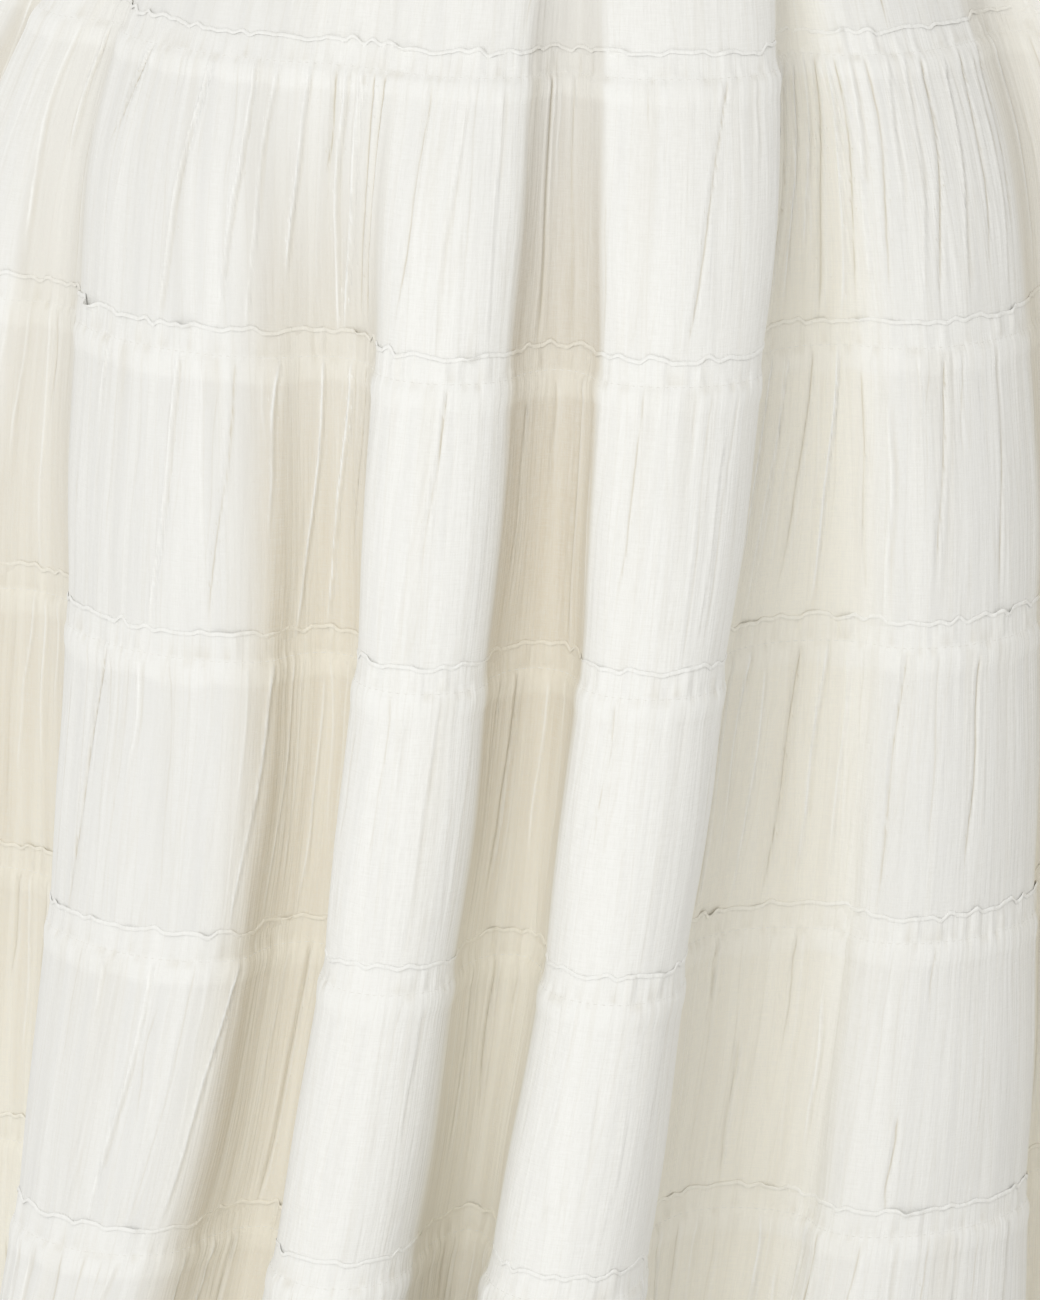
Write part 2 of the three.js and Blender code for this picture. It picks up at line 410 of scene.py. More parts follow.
    def shading(self, place: np.ndarray, down: np.ndarray) -> tuple[np.ndarray, np.ndarray]:
        """Where the cloth is painted with shade, in a valley and where its thin single layer shows the
        skirt's inside.

        Args:
            place: places round the skirt.
            down: depths down the cloth.

        Returns:
            How strongly each point takes the painted valley shade, and how strongly it takes the painted
            shade of the skirt's inside seen through its single layer, 0 to 1.
        """
        arcs = self.arcs(down)
        count = len(FOLDS)
        valley_shade_mask = np.zeros((len(down), len(place)))
        sheer_shade = np.zeros_like(valley_shade_mask)
        lap = np.mod(place, 2 * count)
        for number, fold in enumerate(FOLDS):
            crest_depth = arcs["peak"][:, 2 * number]
            next_depth = np.roll(arcs["peak"], -2, axis=1)[:, 2 * number]
            depth = arcs["peak"][:, 2 * number + 1] - 0.5 * (crest_depth + next_depth)
            # How far the painted shade has grown at this valley's depth: its see-through part, its beige
            # colour and its deep part.
            full = smooth_step((depth - self.shallow) / self.shows_over)[:, None]
            warm_shade_share = smooth_step((depth - self.shallow) / self.warm_shade_over)[:, None]
            deep = smooth_step((depth - self.deep_from) / self.deep_over)[:, None]
            on_crest, in_shallow, in_deep = fold.sheer_shade
            way = np.mod(lap - 2 * number - 1 + count, 2 * count) - count
            rise = smooth_step((way + fold.soft[0]) / fold.soft[0])
            fall = smooth_step((1 + self.past_valley - way) / fold.soft[1])
            mask = (rise * fall)[None, :]
            # Painted valley shade, beige.
            valley_shade_mask = np.maximum(valley_shade_mask, mask * warm_shade_share)
            from_crest = smooth_step((way + 1 + self.past_crest) / (2 * self.past_crest))
            crest = from_crest * smooth_step((self.past_crest - way) / (2 * self.past_crest))
            # Painted shade of the skirt's inside, seen through the thin cloth of the valley and of the crest.
            sheer_shade += mask * full * (in_shallow + (in_deep - in_shallow) * deep)
            sheer_shade += crest[None, :] * on_crest * self.crest_shade_share
        return valley_shade_mask, np.clip(sheer_shade, 0.0, 1.0)


FORM = SkirtForm()


def in_view(place: np.ndarray, first: float, last: float, ease: float) -> np.ndarray:
    """How far each place lies on the stretch of front from first to last, 0 to 1.

    Args:
        place: places round the skirt.
        first: where the stretch begins.
        last: where it ends.
        ease: how softly it does, in arcs.

    Returns:
        A value for each place.
    """
    lead = 4.0
    lap = np.mod(place + lead, 2 * len(FOLDS))
    return smooth_step((lap - lead - first) / ease) * smooth_step((last + lead - lap) / ease)


def grid_normals(points: np.ndarray) -> np.ndarray:
    """Outward normals of a grid of points whose rows run down and columns run towards +X in front."""
    down, across = np.gradient(points, axis=0), np.gradient(points, axis=1)
    return unit(np.cross(down, across))


@dataclass(frozen=True)
class Columns:
    """Columns of points round a panel, finer where they must show more.

    Attributes:
        place: each column's place.
        along: millimetres from the first one, along the cloth.
        surface: the rounded form's points, a row for each depth.
        normals: its outward normals.
    """

    place: np.ndarray
    along: np.ndarray
    surface: np.ndarray
    normals: np.ndarray

    @classmethod
    def laid(cls, ends: tuple[float, float], down: np.ndarray, fine: float, coarse: float) -> "Columns":
        """Lays columns from one place to another.

        Args:
            ends: places of the first column and the last.
            down: depth of each row.
            fine: millimetres between columns where the skirt's front is seen best.
            coarse: millimetres between them elsewhere.

        Returns:
            The columns.
        """
        past_ends, samples = 0.6, 9000
        dense = np.linspace(ends[0] - past_ends, ends[1] + past_ends, samples)
        ring = FORM.points(dense, np.array([down[len(down) // 2]]))[0]
        run = run_along(ring)
        start, stop = np.interp(ends, dense, run)
        margin, fewest = 20, 8
        even = np.arange(start - margin, stop + margin + 1.0)
        even_place = np.interp(even, run, dense)
        points = FORM.points(even_place, down)
        reach = np.arange(-margin + 2, margin - 1)
        weight = bell(reach / FORM.softness)
        weight /= weight.sum()
        soft = sum(w * np.roll(points, -i, axis=1) for i, w in zip(reach, weight))
        normals = grid_normals(soft)
        seen = in_view(even_place, -1.1, 8.0, 0.4)
        density = seen / fine + (1 - seen) / coarse
        inside = (even >= start) & (even <= stop)
        filled = np.cumsum(np.where(inside, density, 0.0))
        number = max(fewest, round(filled[-1]))
        want = np.linspace(filled[inside][0], filled[-1], number + 1)
        at = np.interp(want, filled[inside], even[inside])
        at[0], at[-1] = start, stop

        def read(values: np.ndarray) -> np.ndarray:
            """Values of the even columns read at the laid ones."""
            low = np.clip((at - even[0]).astype(int), 0, len(even) - 2)
            part = (at - even[low])[None, :, None]
            return values[:, low] * (1 - part) + values[:, low + 1] * part

        return cls(np.interp(at, run, dense), at - start, read(soft), unit(read(normals)))


@dataclass(frozen=True)
class Crease:
    """One listed crease.

    Attributes:
        fold: letter of its fold.
        across: its place at the top, 0 to 1 over the fold's crest, 1 to 2 over the valley after it.
        drift: millimetres that its foot lies towards +X of its top.
        top: where it begins, as a share of the tier's height.
        foot: where it ends.
        height: millimetres that it stands out; a groove is below 0.
    """

    fold: str
    across: float
    drift: float
    top: float
    foot: float
    height: float


CREASES = {
    3: (
        Crease("A", 0.34, -16, 0.00, 0.40, -1.6),
        Crease("A", 0.63, -15, 0.00, 0.95, 1.3),
        Crease("A", 0.84, -14, 0.00, 0.95, 1.3),
        Crease("A", 0.95, -11, 0.00, 0.98, 0.9),
        Crease("A", 1.22, -9, 0.00, 0.80, 1.2),
        Crease("A", 1.44, -3, 0.00, 0.45, -1.6),
        Crease("A", 1.52, -2, 0.00, 0.98, 1.5),
        Crease("A", 1.66, -7, 0.00, 0.95, 1.5),
        Crease("A", 1.80, -5, 0.00, 0.90, -1.3),
        Crease("A", 1.92, -7, 0.00, 0.90, -1.6),
        Crease("B", 0.34, -6, 0.04, 0.85, -0.9),
        Crease("B", 0.57, -7, 0.05, 0.98, 0.7),
        Crease("B", 0.76, -1, 0.05, 0.98, 0.7),
        Crease("B", 1.28, 1, 0.00, 0.98, -1.5),
        Crease("B", 1.62, 1, 0.00, 0.98, -0.7),
        Crease("C", 0.30, 0, 0.00, 0.22, -0.7),
        Crease("C", 0.61, -14, 0.00, 0.95, -0.9),
        Crease("C", 0.74, -1, 0.00, 0.40, 0.6),
        Crease("C", 0.86, -2, 0.00, 0.95, 0.7),
        Crease("C", 1.12, -9, 0.00, 0.95, -1.6),
        Crease("C", 1.24, -9, 0.00, 0.95, 1.6),
        Crease("C", 1.36, -9, 0.00, 0.95, -1.6),
        Crease("C", 1.48, -8, 0.05, 0.90, 1.3),
        Crease("C", 1.60, -9, 0.00, 0.75, 0.9),
        Crease("C", 1.72, -8, 0.00, 0.95, -1.6),
        Crease("C", 1.86, -7, 0.00, 0.95, 1.5),
        Crease("C", 1.97, -7, 0.00, 0.90, -1.4),
        Crease("D", 0.09, -6, 0.00, 0.90, 1.1),
        Crease("D", 0.18, -6, 0.00, 0.85, -0.9),
        Crease("D", 0.28, -6, 0.02, 0.60, 1.0),
        Crease("D", 0.38, -9, 0.00, 0.95, 0.8),
        Crease("D", 0.47, -12, 0.03, 0.90, -1.2),
        Crease("D", 0.60, -10, 0.04, 0.90, 1.1),
        Crease("D", 0.72, -8, 0.00, 0.80, -0.9),
        Crease("D", 0.82, -6, 0.05, 0.95, 0.9),
        Crease("D", 0.93, -5, 0.00, 0.70, -0.9),
    ),
    4: (
        Crease("A", 0.33, -5, 0.00, 0.35, 0.8),
        Crease("A", 0.60, -10, 0.00, 0.98, 1.3),
        Crease("A", 0.80, -13, 0.00, 0.95, -0.8),
        Crease("A", 0.98, -4, 0.00, 0.62, 1.0),
        Crease("A", 1.38, -13, 0.00, 0.98, 1.0),
        Crease("A", 1.62, -13, 0.00, 0.95, 1.3),
        Crease("A", 1.80, -10, 0.00, 0.75, -1.1),
        Crease("B", 0.08, -2, 0.00, 0.40, 0.7),
        Crease("B", 0.58, -5, 0.02, 0.70, -0.9),
        Crease("B", 1.20, -3, 0.10, 0.75, -0.7),
        Crease("B", 1.50, 0, 0.03, 0.45, -0.7),
        Crease("B", 1.80, -3, 0.00, 0.98, -1.3),
        Crease("C", 0.33, -4, 0.00, 0.70, -0.8),
        Crease("C", 0.66, -3, 0.15, 0.90, 0.6),
        Crease("C", 1.12, -13, 0.05, 0.95, -1.3),
        Crease("C", 1.30, -10, 0.02, 0.80, 1.0),
        Crease("C", 1.42, -12, 0.05, 0.95, 0.7),
        Crease("C", 1.56, -11, 0.00, 0.85, -0.9),
        Crease("C", 1.70, -9, 0.00, 0.90, 1.2),
        Crease("C", 1.86, 2, 0.10, 0.90, -0.8),
        Crease("D", 0.08, -2, 0.20, 0.95, 0.8),
        Crease("D", 0.36, -6, 0.02, 0.85, -0.9),
        Crease("D", 0.62, -5, 0.04, 0.90, -0.8),
    ),
    5: (
        Crease("A", 0.40, -10, 0.00, 0.98, -1.1),
        Crease("A", 0.52, -3, 0.00, 0.45, 0.8),
        Crease("A", 0.97, -12, 0.00, 0.98, 1.0),
        Crease("A", 1.16, -7, 0.00, 0.95, 0.6),
        Crease("A", 1.40, -5, 0.10, 0.90, 0.6),
        Crease("B", 0.16, -4, 0.02, 0.80, -0.5),
        Crease("B", 0.50, -2, 0.02, 0.40, 0.5),
        Crease("B", 0.64, -4, 0.00, 0.98, 0.6),
        Crease("B", 1.18, -4, 0.00, 0.90, -0.7),
        Crease("B", 1.34, -7, 0.00, 0.80, -1.3),
        Crease("B", 1.62, -3, 0.05, 0.70, 0.5),
        Crease("C", 0.34, -2, 0.02, 0.55, -0.6),
        Crease("C", 1.24, -3, 0.00, 0.98, -1.3),
        Crease("C", 1.35, -4, 0.00, 0.75, 0.9),
        Crease("C", 1.44, -5, 0.10, 0.95, 0.7),
        Crease("C", 1.58, -6, 0.00, 0.95, -1.2),
        Crease("C", 1.69, -5, 0.00, 0.90, 0.8),
        Crease("C", 1.80, -3, 0.05, 0.80, 0.7),
        Crease("D", 0.18, -4, 0.02, 0.95, -0.9),
        Crease("D", 0.48, -4, 0.05, 0.80, -1.0),
    ),
    6: (
        Crease("A", 0.50, -3, 0.00, 0.30, 0.7),
        Crease("A", 0.63, -11, 0.00, 0.95, 1.0),
        Crease("A", 0.90, -12, 0.00, 0.95, 1.1),
        Crease("A", 1.46, -6, 0.00, 0.98, -1.6),
        Crease("A", 1.70, -4, 0.00, 0.90, -0.8),
        Crease("B", 0.74, -1, 0.05, 0.60, 0.6),
        Crease("B", 1.22, -4, 0.00, 0.80, -0.7),
        Crease("B", 1.40, 0, 0.00, 0.60, -1.2),
        Crease("B", 1.60, 0, 0.00, 0.30, -0.7),
        Crease("C", 0.60, -3, 0.35, 0.90, 0.5),
        Crease("C", 1.08, -2, 0.20, 0.98, -1.0),
        Crease("C", 1.36, -2, 0.00, 0.35, -1.0),
        Crease("C", 1.50, 0, 0.40, 0.98, -0.8),
        Crease("C", 1.68, -1, 0.00, 0.50, -0.7),
        Crease("C", 1.82, 0, 0.25, 0.80, 0.9),
        Crease("D", 0.30, 0, 0.60, 0.98, -0.9),
        Crease("D", 0.36, -1, 0.00, 0.30, -0.6),
    ),
}


@dataclass(frozen=True)
class Flip:
    """A stretch of ruffle that is folded over outwards.

    Attributes:
        fold: letter of its fold.
        across: its place, 0 to 1 over the fold's crest, 1 to 2 over the valley after it.
        width: millimetres from its middle to its side.
        turn: degrees that the edge is folded over.
    """

    fold: str
    across: float
    width: float
    turn: float


FLIPS = {
    3: (
        Flip("A", 1.55, 4.0, 60),
        Flip("B", 0.07, 4.5, 75),
        Flip("B", 0.60, 3.0, 35),
        Flip("C", 0.15, 4.0, 55),
        Flip("D", 0.05, 3.5, 45),
    ),
    4: (
        Flip("A", 0.20, 4.5, 65),
        Flip("A", 0.62, 3.5, 50),
        Flip("A", 1.70, 4.0, 55),
        Flip("B", 0.66, 4.0, 60),
        Flip("C", 1.86, 3.5, 45),
    ),
    5: (
        Flip("B", 0.92, 3.5, 40),
        Flip("C", 0.06, 4.0, 50),
        Flip("A", 1.02, 3.5, 30),
        Flip("D", 0.60, 4.0, 35),
    ),
    6: (
        Flip("A", 1.25, 4.0, 50),
        Flip("B", 0.06, 3.5, 35),
        Flip("A", 0.93, 3.0, 35),
        Flip("B", 0.93, 3.0, 30),
    ),
    7: (
        Flip("A", 1.08, 4.0, 45),
        Flip("A", 1.85, 4.0, 55),
        Flip("B", 0.05, 4.0, 75),
        Flip("C", 0.06, 3.5, 50),
        Flip("C", 0.94, 3.5, 50),
        Flip("D", 0.35, 4.0, 40),
    ),
}


@dataclass(frozen=True)
class Gather:
    """How strongly a tier is gathered and crinkled.

    Attributes:
        pleat: millimetres that a gathered pleat stands out under the seam.
        reach: millimetres down the cloth over which the small pleats fade.
        crinkle: millimetres that a crinkle stands out.
        flat: metres that a panel measures across before it is gathered.
    """

    pleat: float
    reach: float
    crinkle: float
    flat: float


GATHERS = {
    1: Gather(0.8, 60, 0.18, 0.56),
    2: Gather(0.8, 60, 0.18, 0.96),
    3: Gather(0.7, 70, 0.17, 1.20),
    4: Gather(0.6, 60, 0.16, 1.40),
    5: Gather(0.5, 50, 0.15, 1.56),
    6: Gather(0.45, 45, 0.15, 1.72),
    7: Gather(0.8, 50, 0.16, 1.88),
}


@dataclass
class Relief:
    """The relief of one panel's cloth, which pleats, creases and crinkles are laid on in turn.

    Attributes:
        tier: the tier's number.
        u: millimetres round the cloth, a row for each depth.
        v: millimetres below the tier's own seam.
        height: the tier's height, seam to seam.
        touch: how far to its side a crease may change the cloth.
        line_reach: how far to its side its line may show.
        line_limit: strength past which a line grows no stronger.
        no_line: distance that stands for no line near.
        lift: share of a crease's height that the cloth is moved.
        wobble: how far a crease's line wobbles aside.
        wobbles: how fast, in radians over its length.
    """

    tier: int
    u: np.ndarray
    v: np.ndarray
    height: float
    touch: float = 16.0
    line_reach: float = 3.4
    line_limit: float = 1.6
    no_line: float = 9.0
    lift: float = 0.8
    wobble: float = 0.5
    wobbles: float = 9.0

    def __post_init__(self) -> None:
        """Starts with smooth cloth."""
        self.gather = GATHERS[self.tier]
        self.out = np.zeros_like(self.u)
        # Painted shade in hollows, painted highlight along ridges, and the nearest crease line with the
        # strength of its painted highlight or shade.
        self.hollow_shade = np.zeros_like(self.u)
        self.ridge_highlight = np.zeros_like(self.u)
        self.away = np.full_like(self.u, self.no_line)
        self.power = np.zeros_like(self.u)

    def noise(self, across: float, along: float, turn: int) -> np.ndarray:
        """A noise of this tier's own over the whole panel, from -1 to 1."""
        return Noise(across, along, 1000 * self.tier + turn)(self.u, self.v)

    def lay(
        self, middle: float, drift: float, top: float, foot: float, height: float, bow: float
    ) -> None:
        """Lays one crease, with its painted highlight or shade.

        Args:
            middle: place of its top, in millimetres round the cloth.
            drift: how far its foot lies beyond that.
            top: where it begins, as a share of the tier's height.
            foot: where it ends.
            height: millimetres that it stands out; a groove is below 0.
            bow: millimetres that it bows aside on its way.
        """
        near = np.abs(self.u[0] - middle - drift / 2) < abs(drift) / 2 + self.touch
        if not near.any():
            return
        share = self.v[:, near] / self.height
        way = np.clip((share - top) / (foot - top), 0.0, 1.0)
        wobble = self.wobble * np.sin(self.wobbles * way + middle)
        line = middle + drift * way + bow * np.sin(np.pi * way) + wobble
        begins = smooth_step((share - top + 0.03) / 0.06)
        ends = begins * smooth_step((foot - share) / 0.2) * (1 - 0.25 * way)
        width = 0.5 + 0.3 * abs(height)
        distance = self.u[:, near] - line
        away = distance / width
        if height > 0:
            profile = height * (bell(away) - 0.75 * bell((away - 1.8) / 0.9))
            # Painted highlight along the crest of the crease.
            self.ridge_highlight[:, near] = np.maximum(self.ridge_highlight[:, near], ends * bell(away) * min(1.0, height))
        else:
            sides = bell((away - 2.0) / 0.9) + bell((away + 2.0) / 0.9)
            profile = height * (bell(away) - 0.45 * sides)
            # Painted shade along the crease's hollow.
            painted_shade = 0.35 * bell(away) * min(1.0, abs(height))
            self.hollow_shade[:, near] = np.maximum(self.hollow_shade[:, near], ends * painted_shade)
        self.out[:, near] += self.lift * ends * profile
        # The line's painted highlight or shade, as strong as the crease is high.
        power = max(-self.line_limit, min(self.line_limit, height))
        strength = np.where(np.abs(distance) < self.line_reach, ends * power, 0.0)
        nearest = np.abs(distance) < np.abs(self.away[:, near])
        self.away[:, near] = np.where(nearest, distance, self.away[:, near])
        self.power[:, near] = np.where(nearest, strength, self.power[:, near])

    def lay_by_hand(self, place: np.ndarray) -> None:
        """Lays the tier's own creases, on the panel that has their places.

        Args:
            place: each column's place.
        """
        for number, crease in enumerate(CREASES.get(self.tier, ())):
            middle = spot_on(place, self.u[0], crease.fold, crease.across)
            if middle is not None:
                bow = 1.2 * math.sin(2.4 * number + self.tier)
                self.lay(middle, crease.drift, crease.top, crease.foot, crease.height, bow)

    def lay_scattered(self, strength: np.ndarray, shift: float) -> None:
        """Lays seeded creases like the listed ones.

        Args:
            strength: how strong they are at each column, 0 to 1.
            shift: makes each panel's differ.
        """
        chance = np.random.default_rng(int(100 * self.tier + 7 + shift))
        margin, least_height, least_length = 4.0, 0.12, 0.12
        ridges, from_seam = 0.62, 0.75
        at = self.u[0, 0] + margin
        while at < self.u[0, -1] - margin:
            at += chance.uniform(4.0, 15.0)
            height = (0.35 + 0.9 * chance.random() ** 1.5) * np.interp(at, self.u[0], strength)
            if chance.random() >= ridges:
                height = -height
            foot = 0.35 + 0.65 * chance.random() ** 0.6
            top = 0.0 if chance.random() < from_seam else chance.uniform(0.05, 0.5)
            drift = chance.normal(-3.0, 4.0) * (foot - top)
            bow = chance.normal(0.0, 0.8)
            if abs(height) > least_height and foot > top + least_length:
                self.lay(at, drift, top, foot, height, bow)

    def crinkle(self) -> None:
        """Adds the small gathers under the seam and the crinkles all over, and paints shade in the gathers'
        hollows.
        """
        wander = 2.0 * self.noise(34, 70, 1) + 0.7 * self.noise(11, 26, 2)

        def bent(across: float, along: float, turn: int) -> np.ndarray:
            """A noise whose streaks wander aside."""
            return Noise(across, along, 1000 * self.tier + turn)(self.u + wander, self.v)

        pleat = 1 - 2 * np.abs(bent(8.0, 240, 3)) + 0.6 * bent(14, 300, 4)
        lasting = 0.15
        fade = (1 - lasting) * np.exp(-np.maximum(self.v, 0) / self.gather.reach) + lasting
        pleat *= fade * (0.65 + 0.5 * self.noise(60, 90, 5))
        slow = self.noise(26, 60, 8)
        streaks = (1 - 2 * np.abs(bent(4.6, 70, 6))) * (0.6 + 0.5 * slow) + 0.45 * bent(2.6, 24, 7)
        self.out += 0.6 * self.gather.pleat * pleat
        self.out += self.gather.crinkle * streaks + 0.4 * slow
        # Painted shade in the hollows of the small gathers.
        self.hollow_shade = np.maximum(self.hollow_shade, np.clip(-0.4 * pleat, 0.0, 0.35))

    def hold(self, free: np.ndarray) -> None:
        """Quiets the relief towards the seams and, where free is low, the panel's sides.

        Args:
            free: how much each column is free to wave, 0 to 1.
        """
        held = 1 - 0.75 * smooth_step((self.v - self.height + 20.0) / 10.0)
        under_seam = 0.3 + 0.7 * smooth_step((self.v + 0.5) / 5.0)
        self.out *= held * under_seam * free
        self.hollow_shade *= smooth_step((self.v + 1.0) / 4.0) * free
        self.ridge_highlight *= free
        # Halfway between two creases the distance jumps from one line's to the other's, so none shows.
        between = (self.away[:, :-1] > 0) & (self.away[:, 1:] < 0)
        self.power[:, :-1][between] = 0.0
        self.power[:, 1:][between] = 0.0
        self.power *= smooth_step((self.v - 0.5) / 8.0) * free

    def stitch(self) -> None:
        """Draws the cloth in along its own stitching, lets it swell over the allowance below, and paints
        shade in the dimples of its puckers.
        """
        pucker = Noise(2.7, ALL_ALONG, 70 + self.tier)(self.u, 0 * self.v)
        self.out += (-0.7 + 0.5 * pucker) * bell(self.v / 1.4)
        self.out += 0.35 * bell((self.v - 5.5) / 4.0) + 0.30 * pucker * bell((self.v - 3.0) / 2.5)
        self.out += 0.25 * (1 - smooth_step((self.v - 9.0) / 1.6))
        # Painted shade in the dimples of the puckers.
        dimple = np.clip(-pucker, 0.0, 1.0) * bell((self.v - 1.0) / 2.2)
        self.hollow_shade = np.maximum(self.hollow_shade, 0.5 * dimple)


def spot_on(place: np.ndarray, u: np.ndarray, fold: str, across: float) -> float | None:
    """Finds a place named by its fold on a panel, if it lies there.

    Args:
        place: each column's place.
        u: millimetres round the cloth, one for each column.
        fold: the fold's letter.
        across: 0 to 1 over its crest, 1 to 2 over the valley after it.

    Returns:
        Millimetres round the cloth, or None.
    """
    spot = fold_place(fold, across)
    for lap in (spot, spot + 2 * len(FOLDS)):
        if place[0] <= lap <= place[-1]:
            return float(np.interp(lap, place, u))
    return None


@dataclass(frozen=True)
class Ruffle:
    """The standing edge above a tier's seam, and its narrow turned hem.

    Attributes:
        height: height of the ruffle above the stitching.
        lean: degrees that it leans out on average.
        least_lean: degrees that it leans at the least.
        wave: degrees that its waves swing it in and out.
        lump: degrees that its small lumps bend it.
        tall: shares of its height that it is taller or lower by, in short and in long waves.
        rows: rows of points up the ruffle.
        hem_turns: degrees that the turned hem has turned at each of its rows.
        hem_steps: millimetres from row to row of the hem.
    """

    height: float = 11.7
    lean: float = -4.0
    least_lean: float = -10.0
    wave: float = 9.0
    lump: float = 26.0
    tall: tuple[float, float] = (0.17, 0.07)
    rows: int = 7
    hem_turns: tuple[float, ...] = (70.0, 150.0, 182.0, 190.0, 250.0)
    hem_steps: tuple[float, ...] = (0.15, 0.2, 0.8, 0.8, 0.25)

    def profile(
        self, tier: int, u: np.ndarray, flips: np.ndarray, share: np.ndarray
    ) -> tuple[np.ndarray, np.ndarray]:
        """The ruffle's section at each column.

        Args:
            tier: the tier's number.
            u: millimetres round the cloth, one for each column.
            flips: degrees that each column is folded over.
            share: how much each column is free to wave.

        Returns:
            How far out and how far up each row lies, from the edge down to the stitching.
        """

        def waves(across: float, turn: int) -> np.ndarray:
            """A noise of this ruffle's own along its length."""
            return Noise(across, ALL_ALONG, 100 * tier + turn)(u, 0 * u)

        swing = waves(5.5, 11) + 0.8 * waves(11, 12)
        tall = 1 + self.tall[0] * waves(4.4, 13) + self.tall[1] * waves(31, 14)
        up_share = np.linspace(0, 1, self.rows + 1)[:, None]
        lumps = waves(3.2, 15) * np.cos(np.pi * up_share) * (1 - 0.6 * up_share)
        lean = self.lean + self.wave * smooth_step(up_share * 1.3) * swing * share
        lean = np.maximum(lean + self.lump * lumps * share, self.least_lean)
        lean += flips * smooth_step((up_share - 0.5) / 0.4)
        step = self.height * tall / self.rows
        angle = np.radians(np.vstack([lean, lean[-1:] + np.array(self.hem_turns)[:, None]]))
        length = np.vstack(
            [
                np.zeros((1, len(u))),
                np.repeat(step[None, :], self.rows, axis=0),
                np.repeat(np.array(self.hem_steps)[:, None], len(u), axis=1),
            ]
        )
        middle = np.vstack([angle[:1], (angle[1:] + angle[:-1]) / 2])
        out = np.cumsum(length * np.sin(middle), axis=0)
        up = np.cumsum(length * np.cos(middle), axis=0)
        return out[::-1], up[::-1]


def placed(name: str, mesh: bpy.types.Mesh) -> bpy.types.Object:
    """Puts a mesh into the scene as a piece.

    Args:
        name: name of the piece.
        mesh: its mesh.

    Returns:
        The piece.
    """
    mesh.validate()
    piece = bpy.data.objects.new(name, mesh)
    bpy.context.scene.collection.objects.link(piece)
    return piece


@dataclass(frozen=True)
class MeshGrid:
    """A grid of points with what the finish needs to know at each.

    Attributes:
        points: rows of points, in millimetres.
        cloth: place on the cloth, round and down, in millimetres.
        marks: named values at each point.
        ringed: whether the last column joins the first.
    """

    points: np.ndarray
    cloth: np.ndarray
    marks: dict[str, np.ndarray]
    ringed: bool = False

    def build(self, name: str) -> bpy.types.Object:
        """Makes the mesh object, with its UV map and attributes.

        Args:
            name: name of the piece.

        Returns:
            The piece.
        """
        rows, columns = self.points.shape[:2]
        number = np.arange(rows * columns).reshape(rows, columns)
        right = np.roll(number, -1, axis=1) if self.ringed else number[:, 1:]
        left = number if self.ringed else number[:, :-1]
        faces = np.stack([left[:-1], left[1:], right[1:], right[:-1]], axis=-1).reshape(-1, 4)
        mesh = bpy.data.meshes.new(name)
        mesh.vertices.add(rows * columns)
        mesh.vertices.foreach_set("co", (self.points * MM).reshape(-1))
        mesh.loops.add(faces.size)
        mesh.loops.foreach_set("vertex_index", faces.reshape(-1))
        mesh.polygons.add(len(faces))
        mesh.polygons.foreach_set("loop_start", np.arange(0, faces.size, 4))
        mesh.polygons.foreach_set("use_smooth", np.ones(len(faces), bool))
        cloth = self.cloth.reshape(-1, 2)
        low = cloth.min(axis=0)
        flat = (cloth - low) / (cloth.max(axis=0) - low)
        mesh.uv_layers.new(name="cut").data.foreach_set("uv", flat[faces.reshape(-1)].reshape(-1))
        place = np.zeros((rows * columns, 3))
        place[:, :2] = cloth * MM
        attribute = mesh.attributes.new("cloth", "FLOAT_VECTOR", "POINT")
        attribute.data.foreach_set("vector", place.reshape(-1))
        for mark, values in self.marks.items():
            attribute = mesh.attributes.new(mark, "FLOAT", "POINT")
            attribute.data.foreach_set("value", np.ascontiguousarray(values, float).reshape(-1))
        mesh.update(calc_edges=True)
        return placed(name, mesh)


@dataclass(frozen=True)
class Thread:
    """A row of stitches.

    Attributes:
        length: length of one stitch.
        pitch: from stitch to stitch.
        radius: radius of the thread.
        proud: how far its middle stands off the cloth.
        sunk: how deep its ends lie in the cloth.
    """

    length: float = 2.5
    pitch: float = 3.4
    radius: float = 0.15
    proud: float = 0.12
    sunk: float = 0.15

    def build(self, name: str, path: np.ndarray, normals: np.ndarray) -> bpy.types.Object:
        """Lays stitches along a path on the cloth.

        Args:
            name: name of the piece.
            path: points of the row, in millimetres.
            normals: the cloth's normals there.

        Returns:
            One joined mesh of stitches.
        """
        run = run_along(path)
        starts = np.arange(self.pitch / 2, run[-1] - self.pitch, self.pitch)
        stations = starts[:, None] + self.length * np.array([0.0, 0.5, 1.0])

        def along(values: np.ndarray) -> np.ndarray:
            """Values read at the stations."""
            return np.stack([np.interp(stations, run, values[:, i]) for i in range(3)], axis=-1)

        out = unit(along(normals))
        lift = np.array([-self.sunk, self.proud, -self.sunk])[None, :, None]
        spine = along(path) + out * lift
        ahead = unit(spine[:, 2:] - spine[:, :1])
        aside = np.cross(out, np.broadcast_to(ahead, out.shape))
        turns = np.radians([0, 90, 180, 270])
        around = out[:, :, None] * np.cos(turns)[:, None] + aside[:, :, None] * np.sin(turns)[:, None]
        points = (spine[:, :, None] + self.radius * around).reshape(-1, 3)
        faces = []
        for ring in range(2):
            for side in range(4):
                here, there = 4 * ring + side, 4 * ring + (side + 1) % 4
                faces.append((here, there, there + 4, here + 4))
        faces += [(3, 2, 1, 0), (8, 9, 10, 11)]
        all_faces = (np.array(faces)[None] + 12 * np.arange(len(starts))[:, None, None]).reshape(-1, 4)
        mesh = bpy.data.meshes.new(name)
        mesh.from_pydata((points * MM).tolist(), [], all_faces.tolist())
        return placed(name, mesh)


Socket = bpy.types.NodeSocket


